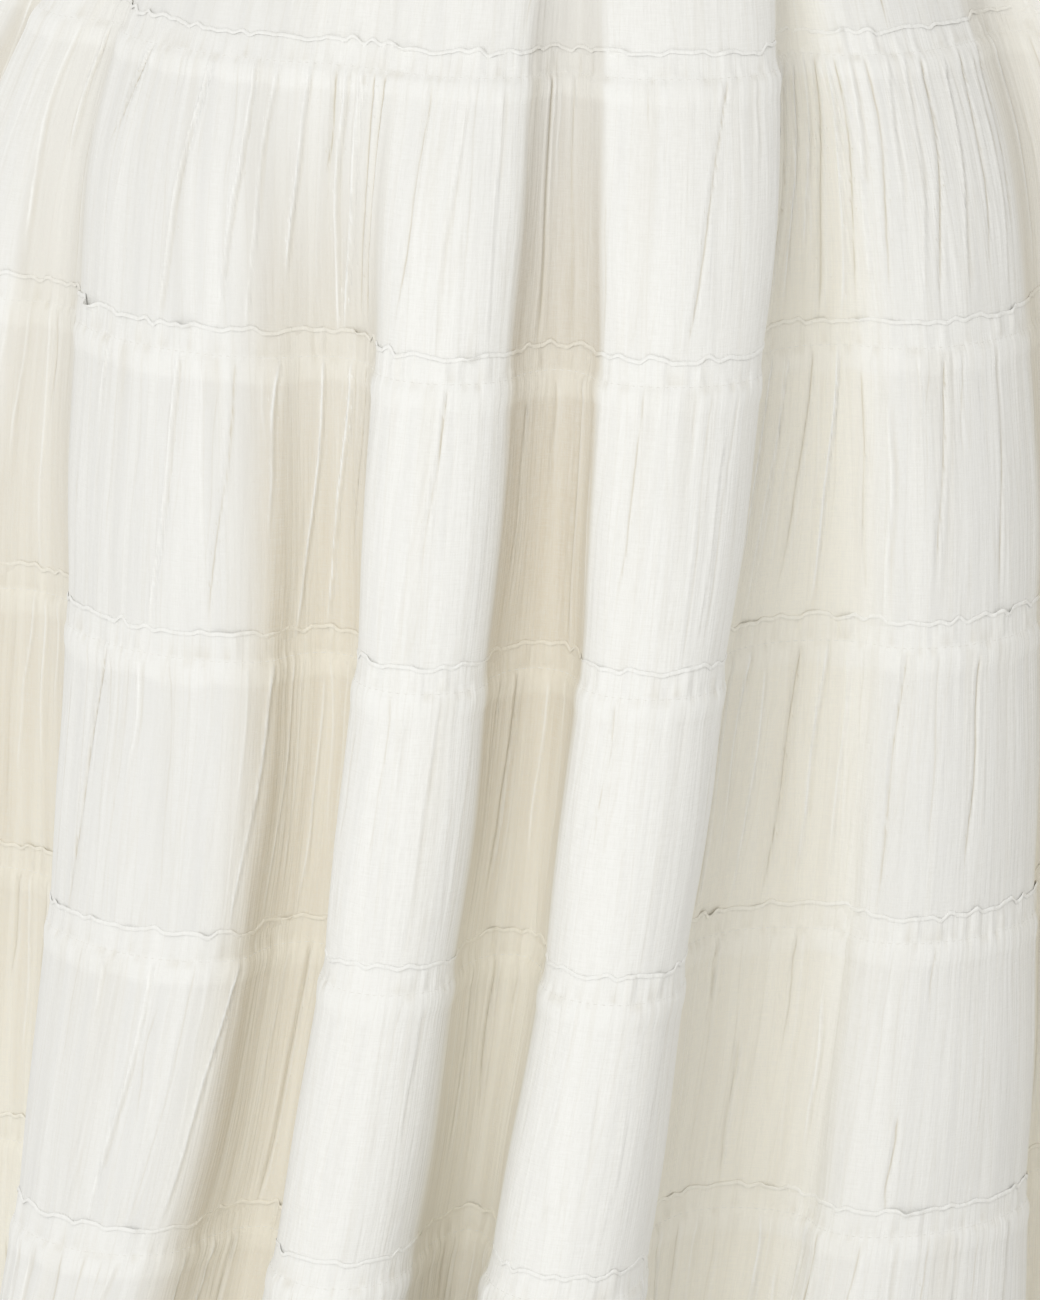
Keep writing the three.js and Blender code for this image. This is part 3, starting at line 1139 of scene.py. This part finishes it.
class Value:
    """A shader value; writing an expression on it adds the Math nodes."""

    def __init__(self, graph: "Graph", socket: Socket) -> None:
        """Wraps a socket of a graph."""
        self.graph = graph
        self.socket = socket

    def math(self, operation: str, *others: "Value | float") -> "Value":
        """This value and others through one Math node.

        Args:
            operation: what the node does.
            others: the values after this one.

        Returns:
            The result.
        """
        inputs = {0: self.socket}
        for number, other in enumerate(others, start=1):
            inputs[number] = other.socket if isinstance(other, Value) else other
        node = self.graph.node("ShaderNodeMath", {"operation": operation}, inputs)
        return Value(self.graph, node.outputs[0])

    def __add__(self, other: "Value | float") -> "Value":
        """Sum."""
        return self.math("ADD", other)

    __radd__ = __add__

    def __mul__(self, other: "Value | float") -> "Value":
        """Product."""
        return self.math("MULTIPLY", other)

    __rmul__ = __mul__

    def __sub__(self, other: "Value | float") -> "Value":
        """Difference."""
        return self.math("SUBTRACT", other)

    def __rsub__(self, other: float) -> "Value":
        """A number less this value."""
        return self * -1.0 + other

    def clamped(self) -> "Value":
        """The value kept from 0 to 1."""
        return self.math("MAXIMUM", 0.0).math("MINIMUM", 1.0)


class Graph:
    """The nodes of one material."""

    def __init__(self, name: str) -> None:
        """Starts a material with an empty tree."""
        self.material = bpy.data.materials.new(name)
        self.material.use_nodes = True
        self.tree = self.material.node_tree
        self.tree.nodes.clear()

    def node(self, kind: str, settings: dict | None = None, inputs: dict | None = None) -> bpy.types.Node:
        """Adds a node.

        Args:
            kind: the node's type.
            settings: its properties, set first.
            inputs: values or links of its sockets, by name or number.

        Returns:
            The node.
        """
        node = self.tree.nodes.new(kind)
        for key, value in (settings or {}).items():
            setattr(node, key, value)
        for key, value in (inputs or {}).items():
            if isinstance(value, Value):
                value = value.socket
            if isinstance(value, Socket):
                self.tree.links.new(value, node.inputs[key])
            else:
                node.inputs[key].default_value = value
        return node

    def mark(self, name: str) -> Value:
        """A named value of the mesh."""
        return Value(self, self.node("ShaderNodeAttribute", {"attribute_name": name}).outputs["Fac"])

    def cloth(self, across: float, along: float) -> Socket:
        """Places on the cloth, counted in threads or streaks of the given size in millimetres.

        Args:
            across: size round the cloth.
            along: size down it.

        Returns:
            The socket of the places.
        """
        place = self.node("ShaderNodeAttribute", {"attribute_name": "cloth"}).outputs["Vector"]
        size = (1 / (across * MM), 1 / (along * MM), 1.0)
        return self.node("ShaderNodeVectorMath", {"operation": "MULTIPLY"}, {0: place, 1: size}).outputs[0]

    def noise(self, vector: Socket, detail: float = 1.0) -> Value:
        """Noise about as coarse as the vector's unit, from 0 to 1.

        Args:
            vector: the places.
            detail: how many finer layers it has.

        Returns:
            The noise.
        """
        inputs = {"Vector": vector, "Scale": 1.0, "Detail": detail}
        node = self.node("ShaderNodeTexNoise", {"noise_dimensions": "2D"}, inputs)
        return Value(self, node.outputs[0])

    def mix(self, share: Value | float, first: object, second: object) -> Socket:
        """Two colours mixed.

        Args:
            share: share of the second.
            first: the first colour or socket.
            second: the second.

        Returns:
            The socket of the colour.
        """
        inputs = {"Factor": share, 6: first, 7: second}
        node = self.node("ShaderNodeMix", {"data_type": "RGBA"}, inputs)
        return node.outputs[2]

    def bump(self, height: Value, distance: float, normal: Socket | None = None) -> Socket:
        """A bump of a height given from 0 to 1, distance in millimetres.

        Args:
            height: the height, 0 to 1.
            distance: how high 1 is, in millimetres.
            normal: a bump that this one lies on.

        Returns:
            The socket of the normal.
        """
        inputs = {"Height": height, "Distance": distance * MM, "Strength": 1.0}
        if normal is not None:
            inputs["Normal"] = normal
        return self.node("ShaderNodeBump", None, inputs).outputs[0]

    def finish(self, colour: object, normal: Socket | None, **constants: float) -> bpy.types.Material:
        """Ends the material with a Principled shader, whose other values are constant.

        Args:
            colour: the colour or its socket.
            normal: the last bump, if there is one.
            constants: the shader's other values, with _ for a space.

        Returns:
            The material.
        """
        inputs = {"Base Color": colour}
        if normal is not None:
            inputs["Normal"] = normal
        for name, value in constants.items():
            inputs[name.replace("_", " ")] = value
        shader = self.node("ShaderNodeBsdfPrincipled", None, inputs)
        output = self.node("ShaderNodeOutputMaterial")
        self.tree.links.new(shader.outputs[0], output.inputs["Surface"])
        return self.material


Colour = tuple[float, float, float, float]


@dataclass(frozen=True)
class GauzeFinish:
    """Crinkled cotton gauze.

    Attributes:
        name: the material's name.
        single: colour of a single layer that lies open.
        double: colour where two layers lie on each other.
        painted_valley_shade: colour of the painted valley shade on a single layer.
        crest_inner_shade: colour of the painted shade of the skirt's inside, seen through a crest's thin
            layer.
        painted_shade: colour of the painted shade of the skirt's inside, seen through a valley's thin layer.
        ridge_highlight: colour of the painted highlight along the ridges.
        crease: colour of the painted shade in hollows, along the creases and in the dimples.
        thread: colour between the threads.
    """

    name: str
    single: Colour = (0.900, 0.896, 0.874, 1.0)
    double: Colour = (0.900, 0.897, 0.875, 1.0)
    painted_valley_shade: Colour = (0.885, 0.855, 0.765, 1.0)
    crest_inner_shade: Colour = (0.670, 0.665, 0.655, 1.0)
    painted_shade: Colour = (0.670, 0.600, 0.480, 1.0)
    ridge_highlight: Colour = (0.960, 0.957, 0.935, 1.0)
    crease: Colour = (0.640, 0.590, 0.480, 1.0)
    thread: Colour = (0.780, 0.770, 0.730, 1.0)

    def make(self) -> bpy.types.Material:
        """Builds the material."""
        g = Graph(self.name)
        pitch, run = 0.55, 7.0
        warp = g.noise(g.cloth(pitch, run))
        weft = g.noise(g.cloth(run, pitch))
        slub = g.noise(g.cloth(1.4, 26.0))
        streak = g.noise(g.cloth(1.9, 42.0), 1.0)
        stripe = g.noise(g.cloth(7.0, 150.0), 1.0)
        layers = g.mark("layers")
        # Painted valley shade: the open single layer turns beige in a valley.
        open_colour = g.mix(g.mark("valley"), self.single, self.painted_valley_shade)
        # Painted shade of the skirt's inside seen through the thin cloth, neutral on a crest and beige in a
        # valley, varied at random by stripes and streaks; less of it shows where two layers lie.
        sheer_shade = (g.mark("sheer_shade") + (stripe - 0.5) * 0.50 + (streak - 0.5) * 0.14) * (1 - layers * 0.40)
        inner_shade_colour = g.mix(g.mark("valley"), self.crest_inner_shade, self.painted_shade)
        with_inner_shade = g.mix(sheer_shade.clamped(), open_colour, inner_shade_colour)
        covering = (layers * (1 - g.mark("valley") * 0.8 - g.mark("sheer_shade") * 1.8)).clamped()
        folded = g.mix(covering, with_inner_shade, self.double)
        # Thin painted highlight along the ridges' lines and painted shade along the creases' lines, with
        # softer painted shade or highlight beside them.
        away = g.mark("line_away") + (g.noise(g.cloth(5.0, 9.0)) - 0.5) * 0.6
        power = g.mark("line_power") * (g.noise(g.cloth(30.0, 26.0)) * 1.6 + 0.2)
        ridge_highlight, groove = power.clamped(), (power * -1.0).clamped()
        near = (1 - away.math("ABSOLUTE") * 1.2).clamped()
        beside = (1 - (away - 1.7).math("ABSOLUTE") * 0.65).clamped()
        bright = ridge_highlight * near + groove * beside * 0.4
        line_shade = groove * (1 - away.math("ABSOLUTE") * 1.7).clamped() * 0.9 + ridge_highlight * beside * 0.36
        # Painted highlight along the ridges.
        ridge_highlighted = g.mix((g.mark("ridge_highlight") * 0.3 + bright * 0.8).clamped(), folded, self.ridge_highlight)
        threads = ((warp + weft) * 0.9 - 0.62 + (slub - 0.5) * 0.5).clamped()
        woven = g.mix(threads * (1 - layers * 0.6) * 0.55, ridge_highlighted, self.thread)
        # Painted shade: in hollows, along the crease lines, and in faint random lines all over.
        line = 1 - ((g.noise(g.cloth(7.0, 190.0), 1.0) - 0.5).math("ABSOLUTE") * 26.0)
        shade = g.mark("hollow_shade") * 0.62 + line_shade * 0.75 + line.clamped() * 0.10
        crease_shaded = g.mix(shade.clamped(), woven, self.crease)
        crinkle = g.bump(streak, 0.30, g.bump(bright - line_shade, 0.05))
        weave = g.bump((warp + weft) * 0.5, 0.12, crinkle)
        return g.finish(
            crease_shaded,
            weave,
            Roughness=0.95,
            Specular_IOR_Level=0.2,
            Sheen_Weight=0.08,
            Sheen_Roughness=0.6,
        )


@dataclass(frozen=True)
class ThreadFinish:
    """Cotton sewing thread."""

    name: str = "sewing_thread"
    bright: Colour = (0.86, 0.85, 0.82, 1.0)
    dull: Colour = (0.80, 0.785, 0.745, 1.0)

    def make(self) -> bpy.types.Material:
        """Builds the material."""
        g = Graph(self.name)
        place = g.node("ShaderNodeTexCoord").outputs["Object"]
        fine = g.node("ShaderNodeVectorMath", {"operation": "SCALE"}, {0: place, "Scale": 2500.0}).outputs[0]
        noise = g.node("ShaderNodeTexNoise", None, {"Vector": fine, "Scale": 1.0, "Detail": 1.0})
        twist = Value(g, noise.outputs[0])
        return g.finish(g.mix(twist, self.dull, self.bright), g.bump(twist, 0.08), Roughness=0.8)


@dataclass(frozen=True)
class FloorFinish:
    """Plain pale studio floor."""

    name: str = "studio_floor"
    pale: Colour = (0.82, 0.815, 0.80, 1.0)
    paler: Colour = (0.84, 0.835, 0.82, 1.0)

    def make(self) -> bpy.types.Material:
        """Builds the material."""
        g = Graph(self.name)
        place = g.node("ShaderNodeTexCoord").outputs["Object"]
        noise = g.node("ShaderNodeTexNoise", None, {"Vector": place, "Scale": 3.0, "Detail": 2.0})
        return g.finish(g.mix(Value(g, noise.outputs[0]), self.pale, self.paler), None, Roughness=0.9)


def dress(piece: bpy.types.Object, material: bpy.types.Material) -> None:
    """Gives a piece its finish and the body that carries it.

    Args:
        piece: the piece.
        material: its finish.
    """
    piece.data.materials.append(material)
    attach(piece, "root")


@dataclass
class TierPanel:
    """One panel of a gathered tier.

    Attributes:
        tier: the tier's number, from the waist.
        side: front or back.
        fine: millimetres between columns of points where the skirt's front is seen best.
        coarse: millimetres between them elsewhere.
        row_step: millimetres between rows.
        height: the tier's height, seam to seam.
        tail: how far the panel reaches past the next seam.
        last_tier: number of the lowest tier.
        outside: how far its top lies outside the form, clear of the tier above.
        wall: thickness of the solid that it replaces.
        puff: how far the middle of the tier stands out.
        rise: how far above the seam the form is read for the ruffle.
        clear: least distance from the ruffle to the tier above.
        hand_share: how much weaker seeded creases are where the listed ones lie.
        most_flip: degrees that the ruffle's edge is folded over at the most.
    """

    tier: int
    side: Side
    fine: float
    coarse: float
    row_step: float
    height: float = 125.0
    tail: float = 8.0
    last_tier: int = 7
    outside: float = 1.6
    wall: float = 1.2
    puff: float = 1.5
    rise: float = 14.0
    clear: float = 0.4
    hand_share: float = 0.68
    most_flip: float = 60.0

    @property
    def name(self) -> str:
        """The panel's node."""
        return f"tier_{self.tier}_{self.side.value}"

    @property
    def seam(self) -> float:
        """Depth of the panel's own seam."""
        return (self.tier - 1) * self.height

    def rows(self) -> np.ndarray:
        """Depths of the rows below the seam, closer together just under it."""
        foot = self.height if self.tier == self.last_tier else self.height + self.tail
        near = [-self.tail, -self.tail / 2] if self.tier == 1 else []
        near += [0.0, 1.2, 2.4, 4.0, 6.0, 8.5, 10.0, 11.5]
        count = round((foot - 14.0) / self.row_step)
        return np.concatenate([near, np.linspace(14.0, foot, count + 1)])

    def offset(self, v: np.ndarray) -> np.ndarray:
        """How far the middle of the cloth lies outside the form.

        Args:
            v: millimetres below the panel's own seam.

        Returns:
            Millimetres, one for each depth.
        """
        top = self.wall / 2 if self.tier == 1 else self.outside + self.wall / 2
        knots = np.array([-self.tail, 0.0, self.height / 2, self.height + self.tail])
        middle = self.outside / 2 + self.puff + self.wall / 2
        return through(knots, np.array([top, top, middle, self.wall / 2]), v)

    def ends(self) -> tuple[float, float]:
        """Places of the panel's two side seams."""
        right, left = fold_place("F", 1.0), fold_place("N", 0.0)
        if self.side is Side.FRONT:
            return left, right + 2 * len(FOLDS)
        return right, left

    def build(self) -> tuple[bpy.types.Object, bpy.types.Object | None]:
        """Builds the panel and its stitching.

        Returns:
            The cloth, and the stitches if it has any.
        """
        rows = self.rows()
        down = self.seam + np.concatenate([[-self.rise], rows])
        columns = Columns.laid(self.ends(), down, self.fine, self.coarse)
        u, v = np.meshgrid(columns.along, rows)
        to_edge = np.minimum(columns.along, columns.along[-1] - columns.along)
        free = smooth_step((to_edge - 1.0) / 8.0)
        relief = Relief(self.tier, u, v, self.height)
        relief.lay_by_hand(columns.place)
        relief.lay_scattered(self.scatter(columns.place), 50.0 if self.side is Side.BACK else 0.0)
        relief.crinkle()
        relief.hold(free[None, :])
        if self.tier > 1:
            relief.stitch()
        out = self.offset(v) + relief.out - 1.0 * bell(to_edge / 2.2)[None, :]
        points = columns.surface[1:] + columns.normals[1:] * out[..., None]
        # Painted valley shade, and painted shade of the skirt's inside seen through the cloth.
        valley, sheer_shade = FORM.shading(columns.place, self.seam + rows)
        allowance_end = 8.5 + 1.5 * Noise(12, 300, 90 + self.tier)(u, v)
        layers = 1 - smooth_step((v - allowance_end) / 3.5)
        # Painted shade and light: the valley shade, the see-through shade, shade in hollows, highlights on
        # ridges, and the crease lines' thin highlights and shade.
        marks = {
            "valley": valley,
            "sheer_shade": sheer_shade,
            "hollow_shade": relief.hollow_shade,
            "layers": layers,
            "ridge_highlight": relief.ridge_highlight,
            "line_away": relief.away,
            "line_power": relief.power,
        }
        stitching = None
        if self.tier > 1:
            stitching = Thread().build(f"{self.name}_stitches", points[0], columns.normals[1])
            points, u, v, marks = self.with_ruffle(points, columns, out[0], u, v, marks, free)
        grid = MeshGrid(points, np.stack([u, v], axis=-1), marks)
        return grid.build(self.name + "_cloth"), stitching

    def scatter(self, place: np.ndarray) -> np.ndarray:
        """How strong seeded creases are: weaker where the listed ones are."""
        by_hand = self.hand_share if self.tier in CREASES else 0.0
        return 1.0 - by_hand * in_view(place, -0.4, 7.2, 0.6)

    def flips(self, columns: Columns) -> np.ndarray:
        """Folds stretches of the ruffle's edge over, placed and seeded ones.

        Args:
            columns: the panel's columns.

        Returns:
            Degrees, one for each column.
        """
        u, strength = columns.along, self.scatter(columns.place)
        turns = np.zeros(len(u))
        for flip in FLIPS.get(self.tier, ()):
            middle = spot_on(columns.place, u, flip.fold, flip.across)
            if middle is not None:
                turns += flip.turn * bell((u - middle) / flip.width)
        chance = np.random.default_rng(300 + self.tier + (50 if self.side is Side.BACK else 0))
        margin, apart, stray = 20.0, 42.0, 14.0
        for middle in np.arange(u[0] + margin, u[-1] - margin, apart):
            middle += chance.uniform(-stray, stray)
            turn = np.clip(chance.normal(10.0, 12.5), 0.0, 25.0) * np.interp(middle, u, strength)
            turns += turn * bell((u - middle) / chance.uniform(4.0, 7.0))
        return np.minimum(turns, self.most_flip)

    def with_ruffle(
        self,
        points: np.ndarray,
        columns: Columns,
        foot: np.ndarray,
        u: np.ndarray,
        v: np.ndarray,
        marks: dict[str, np.ndarray],
        free: np.ndarray,
    ) -> tuple[np.ndarray, np.ndarray, np.ndarray, dict[str, np.ndarray]]:
        """Adds the standing ruffle above the first row.

        Args:
            points: the cloth's points below the stitching.
            columns: the panel's columns.
            foot: how far the stitching lies outside the form, at each column.
            u: millimetres round the cloth.
            v: millimetres below the seam.
            marks: the cloth's named values.
            free: how much each column is free to wave.

        Returns:
            Points, places and marks with the ruffle's rows first.
        """
        out, up = Ruffle().profile(self.tier, u[0], self.flips(columns), free)
        facing = (level_out(columns.surface[1]) * columns.normals[1]).sum(axis=-1)
        loose = 0.1 + 0.9 * smooth_step((facing - 0.4) / 0.5)
        clear = self.clear * (1 - 0.75 * smooth_step((up - 6.0) / 5.0)) - 0.3 * (1 - loose)
        least = self.offset(self.height - up) + clear
        spare = out + foot - least
        hem = len(Ruffle.hem_steps)
        settled = np.maximum(spare, 0.0) * (loose + (1 - loose) * smooth_step(1 - up / 6.0))
        bulge = out[:hem] - out[hem]
        out = least + settled
        out[:hem] = out[hem] + bulge
        part = (up / self.rise)[..., None]
        base = columns.surface[1] + (columns.surface[0] - columns.surface[1]) * part
        normals = columns.normals[1] + (columns.normals[0] - columns.normals[1]) * part
        edge = base + normals * out[..., None]
        top_v = np.minimum(-up[:-1], -0.01)
        first = {name: np.repeat(values[:1], len(top_v), axis=0) for name, values in marks.items()}
        first["line_power"] = 0.0 * top_v
        # Painted shade in the dimples along the ruffle's stitching.
        dimple = np.clip(0.5 * Noise(3.0, ALL_ALONG, 40 + self.tier)(u[:1], 0 * u[:1]), 0, 1)
        first["hollow_shade"] = dimple * bell(top_v / 6.0)
        first["layers"] = np.full_like(top_v, 0.5)
        first["layers"][:hem] = 1.0
        first["layers"][hem - 1] = 0.75
        return (
            np.concatenate([edge[:-1], points], axis=0),
            np.vstack([np.repeat(u[:1], len(top_v), axis=0), u]),
            np.vstack([top_v, v]),
            {name: np.vstack([first[name], values]) for name, values in marks.items()},
        )


@dataclass
class Waistband:
    """Elastic band: a strip of cotton gathered over elastic, with three rows of stitching.

    Attributes:
        step: millimetres between columns of points.
        inner: how far its inner face lies outside the form.
        thickness: thickness of the band.
        gather: millimetres from gather to gather.
        stitch_rows: depths of the rows of stitching, from the waist seam.
        rim: millimetres that the first and last row of points lie inside its height.
        lip: how far its upper and lower edge stand past those rows.
    """

    step: float = 1.4
    inner: float = 1.6
    thickness: float = 2.6
    gather: float = 5.5
    stitch_rows: tuple[float, ...] = (-27.0, -17.5, -8.0)
    rim: float = 1.2
    lip: float = 1.0

    def build(self) -> tuple[bpy.types.Object, bpy.types.Object]:
        """Builds the band as a closed ring, and its stitching.

        Returns:
            The band and its stitches.
        """
        height = FORM.band_height
        rows = np.linspace(-height + self.rim, -self.rim, 24)
        ends = (fold_place("J", 0.5), fold_place("J", 0.5) + 2 * len(FOLDS))
        columns = Columns.laid(ends, rows, self.step, self.step)
        ring, along = columns.surface[:, :-1], columns.along[:-1]
        outward = level_out(ring)
        u, v = np.meshgrid(along, rows)
        turn = 2 * np.pi * u / along[-1] * round(along[-1] / self.gather)
        phase = 1.6 * Noise(22, 300, 501)(u, v)
        fade = smooth_step((u - 2) / 10) * smooth_step((along[-1] - u - 2) / 10)
        folds = (0.55 * np.sin(turn + phase) + 0.35 * Noise(3.2, 9, 502)(u, v)) * fade
        channel = sum(bell((v - row) / 1.0) for row in self.stitch_rows)
        puff = 0.35 * np.sin(np.pi * (v + height) / 9.5) ** 2
        out = self.thickness - 0.5 + folds * (1 - 0.6 * np.clip(channel, 0, 1)) + puff - 0.55 * channel
        out -= 0.5 * (bell(u / 1.6) + bell((along[-1] - u) / 1.6))
        outer = ring + outward * (self.inner + out)[..., None]
        inner = ring + outward * (self.inner + 0.15)
        lip = np.array([0.0, 0.0, self.lip])
        top = (outer[:1] + inner[:1]) / 2 + lip
        foot = (outer[-1:] + inner[-1:]) / 2 - lip
        points = np.concatenate([top, outer, foot, inner[::-1], top], axis=0)
        depth = np.concatenate([v[:1] - 1, v, v[-1:] + 1, 2 * v[-1:] + 2 - v[::-1], 3 * v[-1:] + 2 - v[:1]])
        places = np.stack([np.repeat(u[:1], len(points), axis=0), depth], axis=-1)
        # Painted shade in the dips between the band's gathers.
        dip_shade = np.clip(-folds, 0, 1) * 0.5
        none = 0 * depth
        hollow_shade = none.copy()
        hollow_shade[1 : 1 + len(rows)] = dip_shade
        marks = {
            "valley": none,
            "sheer_shade": none,
            "hollow_shade": hollow_shade,
            "layers": none + 1.0,
            "ridge_highlight": none,
            "line_away": none + Relief.no_line,
            "line_power": none,
        }
        band = MeshGrid(points, places, marks, ringed=True).build("waistband_cloth")
        self.close(band)
        lines = []
        for number, row in enumerate(self.stitch_rows):
            level = int(np.argmin(np.abs(rows - row)))
            path = np.concatenate([outer[level], outer[level][:1]])
            normal = np.concatenate([outward[level], outward[level][:1]])
            lines.append(Thread(pitch=3.1).build(f"waistband_stitches_{number}", path, normal))
        return band, self.joined(lines)

    def close(self, band: bpy.types.Object) -> None:
        """Merges the first row of the ring with the last, so that it is one closed body.

        Args:
            band: the band.
        """
        mesh = bmesh.new()
        mesh.from_mesh(band.data)
        bmesh.ops.remove_doubles(mesh, verts=mesh.verts, dist=1e-6)
        mesh.to_mesh(band.data)
        mesh.free()

    def joined(self, lines: list[bpy.types.Object]) -> bpy.types.Object:
        """Joins the rows of stitches to one piece.

        Args:
            lines: the rows.

        Returns:
            The joined piece.
        """
        bpy.ops.object.select_all(action="DESELECT")
        for line in lines:
            line.select_set(True)
        bpy.context.view_layer.objects.active = lines[0]
        bpy.ops.object.join()
        lines[0].name = "waistband_stitches"
        return lines[0]


@dataclass(frozen=True)
class Studio:
    """Camera, light and floor.

    Attributes:
        scale: millimetres of the skirt's front that one pixel of a 1300 pixel high picture shows.
        elevation: degrees that the camera looks down.
        distance: from the camera to the skirt's front.
        aim_across: where on the front it aims, towards +X.
        aim_down: how far down the cloth it aims.
        picture_height: height of that picture.
        floor_drop: how far below the hem the floor lies.
        key_power: watts of the key light, of which the lights behind have shares.
        ambient: colour of the light from all round.
        ambient_strength: how strong that is.
    """

    scale: float = 0.403
    elevation: float = 17.0
    distance: float = 2800.0
    aim_across: float = -33.0
    aim_down: float = 480.0
    picture_height: int = 1300
    floor_drop: float = 130.0
    key_power: float = 46.0
    ambient: Triple = (1.0, 0.985, 0.95)
    ambient_strength: float = 0.65

    def aim(self) -> np.ndarray:
        """The point of the spread that the camera looks at."""
        width, depth, height = (values[0] for values in FORM.spread(np.array([self.aim_down])))
        forward = depth * math.sqrt(1 - (self.aim_across / width) ** 2)
        return np.array([self.aim_across, -forward, height])

    def camera(self) -> None:
        """Places the camera."""
        data = bpy.data.cameras.new("camera")
        data.sensor_fit = "VERTICAL"
        data.sensor_height = 36.0
        data.lens = data.sensor_height * self.distance / (self.picture_height * self.scale)
        data.clip_end = 50.0
        camera = bpy.data.objects.new("camera", data)
        tilt = math.radians(self.elevation)
        away = np.array([0.0, -math.cos(tilt), math.sin(tilt)])
        camera.location = (self.aim() + away * self.distance) * MM
        camera.rotation_euler = (math.pi / 2 - tilt, 0.0, 0.0)
        bpy.context.scene.collection.objects.link(camera)
        bpy.context.scene.camera = camera

    def light(self, name: str, place: Triple, size: float, power: float, colour: Triple) -> None:
        """Adds a soft square light that shines on the skirt's middle.

        Args:
            name: the light's name.
            place: where it stands, in metres.
            size: its side, in metres.
            power: its watts.
            colour: its colour.
        """
        data = bpy.data.lights.new(name, "AREA")
        data.size = size
        data.energy = power
        data.color = colour
        lamp = bpy.data.objects.new(name, data)
        lamp.location = place
        skirt_middle = np.array([0.0, 0.0, -0.45])
        towards = unit(skirt_middle - np.array(place))
        across = math.hypot(towards[0], towards[1])
        lamp.rotation_euler = (
            math.atan2(towards[2], across) + math.pi / 2,
            0.0,
            math.atan2(towards[1], towards[0]) - math.pi / 2,
        )
        bpy.context.scene.collection.objects.link(lamp)

    def build(self) -> None:
        """Builds the studio."""
        self.camera()
        key = (0.97, 0.99, 1.0)
        self.light("key", (-1.25, -3.1, 0.9), 2.2, self.key_power, key)
        self.light("back_left", (-2.0, 2.6, 0.9), 2.4, self.key_power * 0.6, key)
        self.light("back_right", (2.6, 1.6, 0.9), 2.4, self.key_power * 0.4, key)
        world = bpy.data.worlds.new("studio_air")
        world.use_nodes = True
        background = world.node_tree.nodes["Background"]
        background.inputs["Color"].default_value = (*self.ambient, 1.0)
        background.inputs["Strength"].default_value = self.ambient_strength
        bpy.context.scene.world = world
        bpy.context.scene.view_settings.view_transform = "Standard"
        hem = CAD_BOX[0][2]
        bpy.ops.object.select_all(action="DESELECT")
        bpy.ops.mesh.primitive_plane_add(size=14.0, location=(0.0, 0.0, hem - self.floor_drop * MM))
        floor = bpy.context.object
        floor.name = "floor"
        floor.data.materials.append(FloorFinish().make())


def triangles(piece: bpy.types.Object) -> int:
    """Triangles in a piece."""
    return sum(len(face.vertices) - 2 for face in piece.data.polygons)


def main() -> None:
    """Builds the studio and every piece in order."""
    logging.basicConfig(level=logging.INFO, format="%(name)s: %(message)s")
    Studio().build()
    gauze = GauzeFinish("crinkled_gauze").make()
    band_cloth = GauzeFinish("band_gauze").make()
    thread = ThreadFinish().make()
    total = 0

    band, band_stitches = Waistband().build()
    dress(band, band_cloth)
    dress(band_stitches, thread)
    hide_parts("waistband")
    total += triangles(band) + triangles(band_stitches)

    fine = {1: 2.6, 2: 1.4, 3: 0.9, 4: 0.9, 5: 0.9, 6: 0.95, 7: 1.4}
    for tier in range(1, 8):
        for side in Side:
            panel = TierPanel(tier, side, fine=fine[tier], coarse=2.6, row_step=4.3)
            cloth, stitches = panel.build()
            dress(cloth, gauze)
            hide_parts(panel.name)
            parts = []
            if stitches is not None:
                dress(stitches, thread)
                parts = [stitches]
            count = triangles(cloth) + sum(triangles(part) for part in parts)
            total += count
            log.info("%s: %d triangles", cloth.name, count)
    log.info("all pieces: %d triangles", total)


if __name__ == "__main__":
    main()
    bpy.context.view_layer.update()
